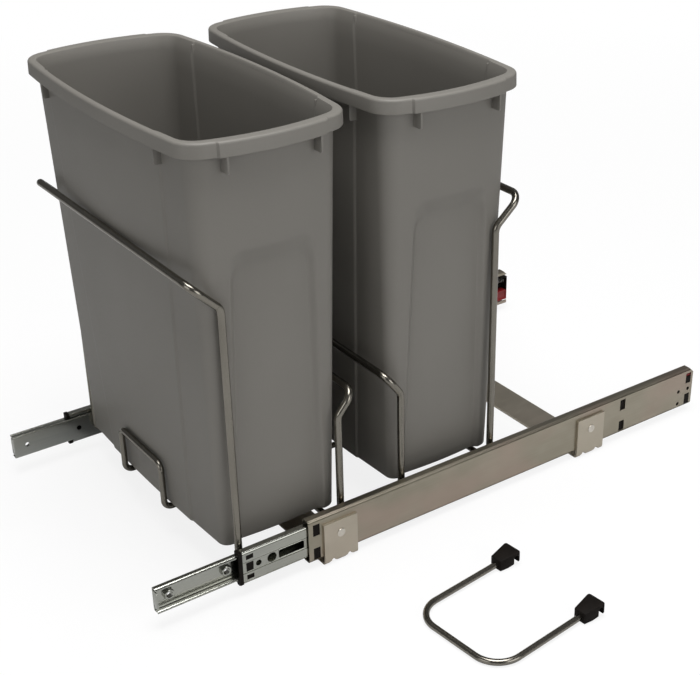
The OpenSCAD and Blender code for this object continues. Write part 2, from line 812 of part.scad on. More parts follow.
module bin(i) {
  rings = bin_rings(bin_y[i]);
  n = len(rings[0]);
  m = len(rings);
  middle = [[0, bin_y[i], bin_z], [0, bin_y[i], bin_z + bin_wall]];
  skin = [for (k = [0 : m - 2]) for (j = [0 : n - 1])
    let (next = (j + 1) % n)
    each [
      [k * n + j, (k + 1) * n + j, (k + 1) * n + next],
      [k * n + j, (k + 1) * n + next, k * n + next]
    ]];
  under = [for (j = [0 : n - 1]) [j, (j + 1) % n, m * n]];
  inside = [for (j = [0 : n - 1]) [(m - 1) * n + (j + 1) % n, (m - 1) * n + j, m * n + 1]];
  color(i == 0 ? RESIN : RIM)
    polyhedron([for (r = rings) each r, each middle], concat(skin, under, inside));
}

// Loose pull handle
module handle_frame() {
  translate([handle_x, rail_y + handle_y, handle_z])
    rotate([handle_tilt, 0, handle_turn])
      children();
}

module handle_wire() {
  color(NICKEL)
    handle_frame()
      bent_wire([[-handle_w / 2, handle_leg + clip_grip, 0], [-handle_w / 2, 0, 0],
        [handle_w / 2, 0, 0], [handle_w / 2, handle_leg + clip_grip, 0]],
        thin_r, handle_bend, false);
}

// A clip on the end of each leg: a block that widens from the leg to a downward hook at its far end.
module handle_clips() {
  base = -thin_r - clip_floor;
  throat_y = clip_l - clip_lip - clip_throat / 2;
  throat_r = clip_throat / 2;
  side = [[0, 0], [clip_heel, 0], [throat_y - throat_r, clip_rise],
    [throat_y - throat_r, clip_throat_top - throat_r], [throat_y + throat_r, clip_throat_top - throat_r],
    [throat_y + throat_r, clip_rise], [clip_l - clip_chamfer / 2, clip_rise],
    [clip_l, clip_rise + clip_chamfer], [clip_l, clip_h[1] - clip_chamfer],
    [clip_l - clip_chamfer, clip_h[1]], [clip_chamfer, clip_h[0]], [0, clip_h[0] - clip_chamfer]];
  top = [[-clip_w[0] / 2, 0], [clip_w[0] / 2, 0], [clip_w[1] / 2, clip_l - clip_corner],
    [clip_w[1] / 2 - 0.3 * clip_corner, clip_l - 0.3 * clip_corner], [clip_w[1] / 2 - clip_corner, clip_l],
    [clip_corner - clip_w[1] / 2, clip_l], [0.3 * clip_corner - clip_w[1] / 2, clip_l - 0.3 * clip_corner],
    [-clip_w[1] / 2, clip_l - clip_corner]];
  color(BLACK)
    handle_frame()
      for (s = [-1, 1])
        translate([s * handle_w / 2, handle_leg, 0])
          difference() {
            intersection() {
              translate([-clip_w[1] / 2, 0, base])
                rotate([90, 0, 90])
                  linear_extrude(clip_w[1])
                    polygon(side);
              translate([0, 0, base - past])
                linear_extrude(clip_h[1] + 2 * past)
                  polygon(top);
            }
            translate([-clip_w[1] / 2 - past, throat_y, base + clip_throat_top - throat_r])
              rotate([0, 90, 0])
                cylinder(h = clip_w[1] + 2 * past, r = throat_r);
            translate([0, clip_grip, 0])
              rotate([90, 0, 0])
                cylinder(h = clip_grip + past, r = thin_r + nut_fit);
          }
}

// Closers in the rear of the fixed rails
module closer_tray(side) {
  half = tray_h / 2;
  color(BLACK)
    slide_frame(side)
      difference() {
        union() {
          slab([rail_gauge, tray_top], [tray_y, tray_end], [-half, half]);
          slab([rail_gauge, rail_gauge + tray_lead_t], [tray_y - tray_lead, tray_y + tray_wall],
            [-tray_lead_h / 2, tray_lead_h / 2]);
        }
        slab([tray_floor, tray_top + past], [tray_y + tray_wall, tray_end - tray_wall],
          [-half + tray_wall, half - tray_wall]);
        slab([tray_floor, tray_top + past], [tray_y - past, tray_y + tray_wall + past], [-gate_h / 2, gate_h / 2]);
        slab([0, tray_top + past], [clip_y, tray_end + past], [clip_low, half + past]);
      }
}

module closer_clip(side) {
  color(RED)
    slide_frame(side)
      difference() {
        slab([rail_gauge, tray_top], [clip_y, tray_end], [clip_low, tray_h / 2]);
        slab([tray_top - tray_wall, tray_top + past], [clip_y + tray_wall, tray_end - tray_wall],
          [clip_low + tray_wall, tray_h / 2 - tray_wall]);
      }
}

module damper_tube(side) {
  color("#3a3a3c")
    slide_frame(side)
      difference() {
        spindle(damper_d0, [damper_y, clip_y], damper_z, damper_d / 2);
        spindle(damper_d0, [damper_y + damper_wall, clip_y - damper_wall], damper_z, damper_bore_d / 2);
        spindle(damper_d0, [damper_y - past, damper_y + damper_wall + past], damper_z, rod_hole_d / 2);
      }
}

module damper_rod(side) {
  root = catch_y + catch_arm_len;
  head = damper_y + damper_wall + catch_gap;
  color(ZINC)
    slide_frame(side) {
      spindle(damper_d0, [root, head + piston_len], damper_z, rod_d / 2);
      spindle(damper_d0, [head, head + piston_len], damper_z, piston_d / 2);
    }
}

// The catch: a block with a fork that the tongue passes through, and an arm for the rod and the spring.
module closer_catch(side) {
  arm = [damper_d0 - 1.5, damper_d0 + 1.5];
  color(RED)
    slide_frame(side) {
      difference() {
        slab([tray_floor + catch_gap, catch_top], [catch_y, catch_y + catch_len], [-catch_h / 2, catch_h / 2]);
        slab([fork_floor, catch_top + past], [catch_y - past, catch_y + catch_len + past],
          [-fork_h / 2, fork_h / 2]);
      }
      slab(arm, [catch_y, catch_y + catch_arm_len], [-catch_arm_z, catch_arm_z]);
    }
}

module closer_spring(side) {
  run = [catch_y + catch_arm_len, tray_end - tray_wall];
  color("silver")
    slide_frame(side)
      difference() {
        spindle(damper_d0, run, -damper_z, spring_d / 2);
        spindle(damper_d0, [run[0] - past, run[1] + past], -damper_z, spring_bore_d / 2);
      }
}

outer_rail(1);  // outer_rail_right
outer_rail(-1);  // outer_rail_left
floor_strap(front_strap_at);  // front_floor_strap
floor_strap(rear_strap_at);  // rear_floor_strap
strap_rivets();
rail_plugs();
mid_rail(1);  // mid_rail_right
mid_rail(-1);  // mid_rail_left
mid_bumper(1);  // mid_bumper_right
mid_bumper(-1);  // mid_bumper_left
outer_cage(1);  // outer_cage_right
outer_cage(-1);  // outer_cage_left
outer_balls(1);  // outer_balls_right
outer_balls(-1);  // outer_balls_left
inner_cage(1);  // inner_cage_right
inner_cage(-1);  // inner_cage_left
inner_balls(1);  // inner_balls_right
inner_balls(-1);  // inner_balls_left
inner_rail(1);  // inner_rail_right
inner_rail(-1);  // inner_rail_left
bracket_nuts();
tongue(1);  // tongue_right
tongue(-1);  // tongue_left
cradle_wire();
low_loop(0);  // front_bin_loop
low_loop(1);  // rear_bin_loop
cross_wires();
base_wire();
bin(0);  // front_bin
bin(1);  // rear_bin
handle_wire();
handle_clips();
closer_tray(1);  // closer_tray_right
closer_tray(-1);  // closer_tray_left
closer_clip(1);  // closer_clip_right
closer_clip(-1);  // closer_clip_left
damper_tube(1);  // damper_tube_right
damper_tube(-1);  // damper_tube_left
damper_rod(1);  // damper_rod_right
damper_rod(-1);  // damper_rod_left
closer_catch(1);  // closer_catch_right
closer_catch(-1);  // closer_catch_left
closer_spring(1);  // closer_spring_right
closer_spring(-1);  // closer_spring_left
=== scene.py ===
"""Looks of a pull-out frame for two waste bins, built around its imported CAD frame.

All places are in the frame's own axes: +Z up, -Y the side that is pulled out. Sizes in the
classes are in millimetres, as on a drawing, and meshes are in metres.
"""
import json
import logging
import math
from dataclasses import dataclass
from enum import Enum
from typing import Callable, Sequence

import bmesh
import bpy
from mathutils import Matrix, Vector


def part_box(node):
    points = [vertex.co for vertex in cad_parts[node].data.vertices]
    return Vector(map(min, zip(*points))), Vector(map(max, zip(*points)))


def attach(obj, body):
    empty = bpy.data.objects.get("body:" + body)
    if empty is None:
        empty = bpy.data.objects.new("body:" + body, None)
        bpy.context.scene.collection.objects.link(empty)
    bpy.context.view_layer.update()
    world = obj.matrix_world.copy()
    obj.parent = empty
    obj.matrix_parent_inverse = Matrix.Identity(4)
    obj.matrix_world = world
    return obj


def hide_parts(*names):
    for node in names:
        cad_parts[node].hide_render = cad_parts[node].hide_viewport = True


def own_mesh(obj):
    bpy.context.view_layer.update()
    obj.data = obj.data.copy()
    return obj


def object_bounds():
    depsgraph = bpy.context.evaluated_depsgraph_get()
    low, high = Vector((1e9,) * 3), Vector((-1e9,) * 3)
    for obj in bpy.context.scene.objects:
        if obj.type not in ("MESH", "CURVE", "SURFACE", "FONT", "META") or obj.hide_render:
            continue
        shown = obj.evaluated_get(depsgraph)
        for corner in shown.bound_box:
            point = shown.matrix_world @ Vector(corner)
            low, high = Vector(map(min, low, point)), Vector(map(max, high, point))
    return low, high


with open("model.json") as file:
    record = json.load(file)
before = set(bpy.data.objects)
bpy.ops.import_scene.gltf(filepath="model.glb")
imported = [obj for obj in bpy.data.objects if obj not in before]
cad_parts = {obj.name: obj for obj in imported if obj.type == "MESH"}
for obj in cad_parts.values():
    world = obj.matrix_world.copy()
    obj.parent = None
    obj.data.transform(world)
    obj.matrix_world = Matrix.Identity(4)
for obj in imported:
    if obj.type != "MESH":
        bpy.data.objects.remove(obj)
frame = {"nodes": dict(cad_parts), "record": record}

CAD_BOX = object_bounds()
MM = 0.001
log = logging.getLogger("bin_frame")

Point = tuple[float, float, float]
Spot = tuple[float, float]


class Slot(Enum):
    """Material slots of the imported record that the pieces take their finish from."""

    RAIL = "rail_steel"
    ZINC = "zinc_steel"
    BALL = "ball_steel"
    WIRE = "nickel_wire"
    BIN = "bin_plastic"
    BLACK = "black_plastic"
    RED = "red_plastic"
    SPRING = "spring_steel"


class Side(Enum):
    """The two slides of the frame, with the sign of their X."""

    RIGHT = 1
    LEFT = -1

    @property
    def tag(self) -> str:
        """The side's name as the CAD nodes spell it."""
        return self.name.lower()


class Work(Enum):
    """What a tool does to a piece."""

    ADD = "UNION"
    CUT = "DIFFERENCE"


def ends(node: str, axis: int) -> Spot:
    """Gives where a CAD node starts and ends along an axis, in millimetres to a micrometre."""
    low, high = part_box(node)
    return (round(low[axis] / MM, 3), round(high[axis] / MM, 3))


# Places that the pieces of the slides share: the fixed rails' outer face, the straps' tabs
# outside it, and the height of the rails' middle
RAIL_FACE = ends("outer_rail_right", 0)[1]
TAB_FACE = ends("front_floor_strap", 0)[1]
RAIL_LEVEL = sum(ends("outer_rail_right", 2)) / 2


# Finishes

# Noise runs from about 0.3 to 0.7, and a tint comes in over its upper part
NOISE_SPAN: Spot = (0.3, 0.7)
TINT_SPAN: Spot = (0.45, 0.65)
TINT_STRETCH = 1.7
GRAIN_SHARE = 0.35
GRAIN_OCTAVES = 3.0
DRIFT_OCTAVES = 2.0
TINT_OCTAVES = 1.0
OCTAVE_FADE = 0.55


def linear(code: str) -> tuple[float, float, float, float]:
    """Turns an sRGB hex colour to linear light.

    Args:
        code: six hex digits after a hash.

    Returns:
        Red, green, blue and alpha in linear light.
    """
    values = [int(code[i:i + 2], 16) / 255 for i in (1, 3, 5)]
    lit = [v / 12.92 if v <= 0.04045 else ((v + 0.055) / 1.055) ** 2.4 for v in values]
    return (lit[0], lit[1], lit[2], 1.0)


def add_node(tree: bpy.types.NodeTree, kind: str, values: dict | None = None,
             links: dict | None = None, **settings: object) -> bpy.types.Node:
    """Adds a shader node with its settings, socket values and incoming links.

    Args:
        tree: node tree of the material or world.
        kind: Blender's name for the kind of node.
        values: socket name or number to value.
        links: socket name or number to the output socket that feeds it.
        settings: the node's own properties.

    Returns:
        The new node.
    """
    made = tree.nodes.new(kind)
    for key, value in settings.items():
        setattr(made, key, value)
    for key, value in (values or {}).items():
        made.inputs[key].default_value = value
    for key, source in (links or {}).items():
        tree.links.new(source, made.inputs[key])
    return made


@dataclass(frozen=True)
class Finish:
    """A surface as it was made: two close colours, a grain and a slow drift of tone.

    Sizes are in millimetres: grain is the grain's size along X, Y and Z, drift is the size of
    the clouds in the colour.
    """

    name: str
    low: str
    high: str
    rough: Spot
    grain: Point
    drift: Point
    metallic: float = 0.0
    ior: float | None = None
    bump: float = 0.0
    depth: float = 0.05
    tint: str | None = None
    tint_share: float = 0.0
    gloss: float = 0.5

    def _noises(self, tree: bpy.types.NodeTree) -> list[bpy.types.NodeSocket]:
        """Adds the finish's noises, whose lumps have a real size along each axis.

        Args:
            tree: node tree to add to.

        Returns:
            The outputs of the grain and the drift, and of the tint where there is one.
        """
        layers = [(self.grain, GRAIN_OCTAVES), (self.drift, DRIFT_OCTAVES)]
        if self.tint:
            layers.append((tuple(TINT_STRETCH * d for d in self.drift), TINT_OCTAVES))
        place = add_node(tree, "ShaderNodeTexCoord").outputs["Object"]
        outputs = []
        for size, octaves in layers:
            mapping = add_node(tree, "ShaderNodeMapping", {"Scale": tuple(1.0 / (s * MM) for s in size)},
                               {"Vector": place})
            noise = add_node(tree, "ShaderNodeTexNoise",
                             {"Scale": 1.0, "Detail": octaves, "Roughness": OCTAVE_FADE},
                             {"Vector": mapping.outputs[0]})
            outputs.append(noise.outputs["Fac"])
        return outputs

    def material(self) -> bpy.types.Material:
        """Builds the material once and gives it back on later calls.

        Returns:
            The finish as a Blender material.
        """
        found = bpy.data.materials.get(self.name)
        if found:
            return found
        made = bpy.data.materials.new(self.name)
        made.use_nodes = True
        made.diffuse_color = linear(self.low)
        tree = made.node_tree
        shader = tree.nodes["Principled BSDF"]
        grain, drift, *clouds = self._noises(tree)
        span = {"From Min": NOISE_SPAN[0], "From Max": NOISE_SPAN[1]}
        blend = add_node(tree, "ShaderNodeMath", {1: GRAIN_SHARE}, {0: grain}, operation="MULTIPLY")
        share = add_node(tree, "ShaderNodeMath", {1: 1 - GRAIN_SHARE}, {0: drift, 2: blend.outputs[0]},
                         operation="MULTIPLY_ADD")
        spread = add_node(tree, "ShaderNodeMapRange", span, {"Value": share.outputs[0]})
        colour = add_node(tree, "ShaderNodeMix", {"A": linear(self.low), "B": linear(self.high)},
                          {"Factor": spread.outputs[0]}, data_type="RGBA").outputs["Result"]
        if self.tint:
            amount = add_node(tree, "ShaderNodeMapRange",
                              {"From Min": TINT_SPAN[0], "From Max": TINT_SPAN[1], "To Max": self.tint_share},
                              {"Value": clouds[0]})
            colour = add_node(tree, "ShaderNodeMix", {"B": linear(self.tint)},
                              {"A": colour, "Factor": amount.outputs[0]}, data_type="RGBA").outputs["Result"]
        tree.links.new(colour, shader.inputs["Base Color"])
        rough = add_node(tree, "ShaderNodeMapRange",
                         {**span, "To Min": self.rough[0], "To Max": self.rough[1]}, {"Value": grain})
        tree.links.new(rough.outputs[0], shader.inputs["Roughness"])
        shader.inputs["Metallic"].default_value = self.metallic
        if self.ior:
            shader.inputs["IOR"].default_value = self.ior
        shader.inputs["Specular IOR Level"].default_value = self.gloss
        if self.bump:
            relief = add_node(tree, "ShaderNodeBump", {"Strength": self.bump, "Distance": self.depth * MM},
                              {"Height": grain})
            tree.links.new(relief.outputs[0], shader.inputs["Normal"])
        return made


# Polypropylene, injection moulded in a spark-eroded tool: an even, softly satin grey with a
# faint cloudiness. The true grain is about 0.3 mm and is drawn at 1.1 mm so that it shows.
BIN_RESIN = Finish("moulded_polypropylene_grey", "#726F69", "#7A7771", (0.46, 0.58), (1.1, 1.1, 1.1),
                   (140, 140, 180), ior=1.49, bump=0.12, depth=0.06)
# Cold-rolled strip with a thin warm nickel flash: satin, rolled along its length, blotched.
RAIL_STEEL = Finish("rolled_steel_warm_nickel", "#979182", "#A9A293", (0.3, 0.4), (2.2, 60, 1.6),
                    (32, 46, 24), metallic=1.0, bump=0.04, depth=0.02, tint="#AE9C90", tint_share=0.6)
# Flat bar, cut and bent, in the same plating over a coarser surface: a little paler than the rails.
STRAP_STEEL = Finish("bent_bar_warm_nickel", "#B4AC9D", "#C0B8A9", (0.4, 0.5), (1.6, 20, 1.6),
                     (40, 40, 30), metallic=1.0, bump=0.04, depth=0.02, tint="#C6B9AB", tint_share=0.3)
# Rivet wire, cold headed and plated after: paler and smoother than the bar around it.
RIVET_STEEL = Finish("headed_rivet_nickel", "#CFC9BF", "#DAD4CA", (0.3, 0.38), (1.2, 1.2, 1.2),
                     (6, 6, 6), metallic=1.0)
# Roll-formed steel, bright zinc plated and blue passivated: cool, shinier, faintly yellow in places.
BRIGHT_ZINC = Finish("roll_formed_bright_zinc", "#9A9C98", "#B0B2AD", (0.16, 0.24), (1.6, 90, 1.2),
                     (60, 120, 40), metallic=1.0, bump=0.02, depth=0.015, tint="#B4B2A2", tint_share=0.3)
# Drawn steel wire, nickel plated: dark satin with sharp highlights along the wire.
NICKEL_WIRE = Finish("drawn_wire_satin_nickel", "#7A766E", "#8B877E", (0.18, 0.26), (1.4, 1.4, 6.0),
                     (60, 60, 60), metallic=1.0, bump=0.02, depth=0.01)
# Glass-filled nylon, moulded and dyed through: near black and matt.
BLACK_NYLON = Finish("moulded_nylon_black", "#100D0B", "#1A1613", (0.5, 0.62), (0.9, 0.9, 0.9),
                     (12, 12, 12), ior=1.3, bump=0.1, depth=0.04, gloss=0.2)
# Acetal, moulded in a polished tool: deep red with a soft gloss.
RED_ACETAL = Finish("moulded_acetal_red", "#74181A", "#861F20", (0.3, 0.4), (0.9, 0.9, 0.9),
                    (10, 10, 10), ior=1.48, bump=0.04, depth=0.03)
# Bearing balls, ground and lapped: mirror bright.
BALL_STEEL = Finish("lapped_bearing_steel", "#B9BBBD", "#C6C8CA", (0.06, 0.1), (3, 3, 3), (5, 5, 5),
                    metallic=1.0)
# Spring wire, drawn and oiled: mid grey with a soft shine.
SPRING_WIRE = Finish("oiled_spring_wire", "#8E8D8A", "#A09F9B", (0.22, 0.32), (0.8, 0.8, 0.8), (8, 8, 8),
                     metallic=1.0)

FINISHES: dict[Slot, Finish] = {
    Slot.RAIL: RAIL_STEEL, Slot.ZINC: BRIGHT_ZINC, Slot.BALL: BALL_STEEL, Slot.WIRE: NICKEL_WIRE,
    Slot.BIN: BIN_RESIN, Slot.BLACK: BLACK_NYLON, Slot.RED: RED_ACETAL, Slot.SPRING: SPRING_WIRE,
}


# Work at the bench

# Points this near to each other are one, and points this near to a place lie there, in millimetres
MERGE = 0.001
TOUCH = 0.01
# Faces that meet at less than this angle are one flat face, in degrees
FLAT = 0.5
# Edges sharper than this are broken on the small blocks, in degrees
BROKEN = 50.0


def spaced(start: float, end: float, spans: int) -> list[float]:
    """Lists evenly spaced values from a start to an end, both of them included."""
    return [start + (end - start) * i / spans for i in range(spans + 1)]


def eased(share: float) -> float:
    """Gives a share that leaves 0 and comes to 1 gently."""
    return share * share * (3 - 2 * share)


def deselect() -> None:
    """Clears the selection, as the loaded frame comes in selected."""
    bpy.ops.object.select_all(action="DESELECT")


def take(obj: bpy.types.Object) -> None:
    """Selects one object alone and makes it the active one.

    Args:
        obj: mesh object.
    """
    deselect()
    obj.select_set(True)
    bpy.context.view_layer.objects.active = obj


def edit(obj: bpy.types.Object) -> bmesh.types.BMesh:
    """Opens one object alone in edit mode.

    Args:
        obj: mesh object.

    Returns:
        Its mesh in edit mode.
    """
    take(obj)
    bpy.ops.object.mode_set(mode="EDIT")
    return bmesh.from_edit_mesh(obj.data)


def close(obj: bpy.types.Object) -> None:
    """Leaves edit mode with the mesh brought up to date."""
    bmesh.update_edit_mesh(obj.data)
    bpy.ops.object.mode_set(mode="OBJECT")


def pick_edges(bm: bmesh.types.BMesh, test: Callable[[bmesh.types.BMEdge], bool]) -> None:
    """Selects the edges that pass a test, and nothing else.

    Args:
        bm: mesh in edit mode.
        test: tells whether an edge is wanted.
    """
    bpy.ops.mesh.select_mode(type="EDGE")
    for item in (*bm.faces, *bm.verts):
        item.select_set(False)
    for edge in bm.edges:
        edge.select_set(test(edge))


def turn_outwards() -> None:
    """Turns all faces of the mesh in edit mode outwards."""
    bpy.ops.mesh.select_all(action="SELECT")
    bpy.ops.mesh.normals_make_consistent(inside=False)


def modify(obj: bpy.types.Object, kind: str, **settings: object) -> None:
    """Adds a modifier and applies it at once.

    Args:
        obj: mesh object.
        kind: Blender's name for the modifier.
        settings: the modifier's own properties.
    """
    take(obj)
    made = obj.modifiers.new(kind.lower(), kind)
    for key, value in settings.items():
        setattr(made, key, value)
    bpy.ops.object.modifier_apply(modifier=made.name)


def break_edges(obj: bpy.types.Object, width: float, segments: int, degrees: float = BROKEN) -> None:
    """Rounds the edges that are sharper than an angle."""
    modify(obj, "BEVEL", width=width, segments=segments, limit_method="ANGLE",
           angle_limit=math.radians(degrees))


def smooth(obj: bpy.types.Object, degrees: float) -> None:
    """Shades an object smooth except over edges sharper than an angle."""
    take(obj)
    bpy.ops.object.shade_smooth_by_angle(angle=math.radians(degrees))


def use_tools(obj: bpy.types.Object, work: Work, tools: Sequence[bpy.types.Object]) -> None:
    """Adds tools to an object or cuts them out of it, and removes them.

    Args:
        obj: mesh object.
        work: what the tools do.
        tools: closed shapes.
    """
    for tool in tools:
        modify(obj, "BOOLEAN", operation=work.value, object=tool, solver="EXACT")
        bpy.data.objects.remove(tool)


def add_block(**place: object) -> bpy.types.Object:
    """Adds a cube with unit edges, to be shaped.

    Args:
        place: its location and scale, where it has them.

    Returns:
        The cube.
    """
    deselect()
    bpy.ops.mesh.primitive_cube_add(size=1.0, **place)
    return bpy.context.object


def add_drill(radius: float, length: float, middle: Sequence[float], sides: int = 32) -> bpy.types.Object:
    """Adds a round tool that lies along X.

    Args:
        radius: its radius.
        length: its length.
        middle: place of its middle.
        sides: flats around it.

    Returns:
        The tool.
    """
    deselect()
    bpy.ops.mesh.primitive_cylinder_add(vertices=sides, radius=radius, depth=length, location=middle,
                                        rotation=(0, math.pi / 2, 0))
    return bpy.context.object


def copy_of(obj: bpy.types.Object) -> bpy.types.Object:
    """Copies an object with a mesh of its own.

    Args:
        obj: mesh object.

    Returns:
        The copy.
    """
    twin = obj.copy()
    twin.data = obj.data.copy()
    bpy.context.scene.collection.objects.link(twin)
    return twin


def join(objs: Sequence[bpy.types.Object]) -> bpy.types.Object:
    """Joins objects into the first one.

    Args:
        objs: mesh objects.

    Returns:
        The first of them, with all the meshes.
    """
    take(objs[0])
    for obj in objs:
        obj.select_set(True)
    bpy.ops.object.join()
    return objs[0]


def loft(rings: Sequence[Sequence[Point]]) -> bpy.types.Object:
    """Draws a circle to the first ring's outline, then extrudes it from ring to ring.

    Args:
        rings: outlines in millimetres, all with as many points.

    Returns:
        An open skin through all the rings.
    """
    deselect()
    bpy.ops.mesh.primitive_circle_add(vertices=len(rings[0]), radius=1.0)
    obj = bpy.context.object
    bm = edit(obj)
    column = bm.verts.layers.int.new("column")
    for i, vert in enumerate(bm.verts):
        vert[column] = i
        vert.co = Vector(rings[0][i]) * MM
    bpy.ops.mesh.select_all(action="SELECT")
    for ring in rings[1:]:
        bpy.ops.mesh.extrude_region_move()
        bm = bmesh.from_edit_mesh(obj.data)
        column = bm.verts.layers.int["column"]
        for vert in bm.verts:
            if vert.select:
                vert.co = Vector(ring[vert[column]]) * MM
    close(obj)
    return obj


def cap_ends(obj: bpy.types.Object) -> None:
    """Fills every open end of a skin and turns all its faces outwards.

    Args:
        obj: the skin.
    """
    edit(obj)
    bpy.ops.mesh.select_mode(type="EDGE")
    bpy.ops.mesh.select_all(action="DESELECT")
    bpy.ops.mesh.select_non_manifold()
    bpy.ops.mesh.edge_face_add()
    turn_outwards()
    close(obj)


def carved(node: str, cutters: Sequence[bpy.types.Object]) -> bpy.types.Object:
    """Copies a CAD node and cuts tools out of the copy.

    Args:
        node: the CAD node's name.
        cutters: closed tools, which are used up.

    Returns:
        The carved copy, with flat faces shaded flat.
    """
    obj = bpy.data.objects.new(node, frame["nodes"][node].data.copy())
    bpy.context.scene.collection.objects.link(obj)
    edit(obj)
    bpy.ops.mesh.select_all(action="SELECT")
    bpy.ops.mesh.remove_doubles(threshold=MERGE * MM)
    close(obj)
    use_tools(obj, Work.CUT, cutters)
    edit(obj)
    bpy.ops.mesh.select_all(action="SELECT")
    bpy.ops.mesh.dissolve_limited(angle_limit=math.radians(FLAT))
    close(obj)
    smooth(obj, degrees=30)
    modify(obj, "WEIGHTED_NORMAL", mode="FACE_AREA", weight=100, keep_sharp=True)
    return obj


def place_piece(obj: bpy.types.Object, name: str, body: str, slot: Slot, replaces: Sequence[str] = (),
                finish: Finish | None = None) -> bpy.types.Object:
    """Names a finished piece, gives it its finish and seats it on its body.

    Args:
        obj: finished mesh object, at the origin.
        name: name of the piece.
        body: CAD body that it rides on.
        slot: material slot of the record.
        replaces: CAD nodes that it stands for.
        finish: its finish, where it isn't the slot's own.

    Returns:
        The piece.
    """
    obj.name = name
    obj.data.name = name
    obj.data.materials.clear()
    obj.data.materials.append((finish or FINISHES[slot]).material())
    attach(obj, body)
    if replaces:
        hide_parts(*replaces)
    log.info("piece %s on %s, %d faces", name, body, len(obj.data.polygons))
    return obj


# Bins


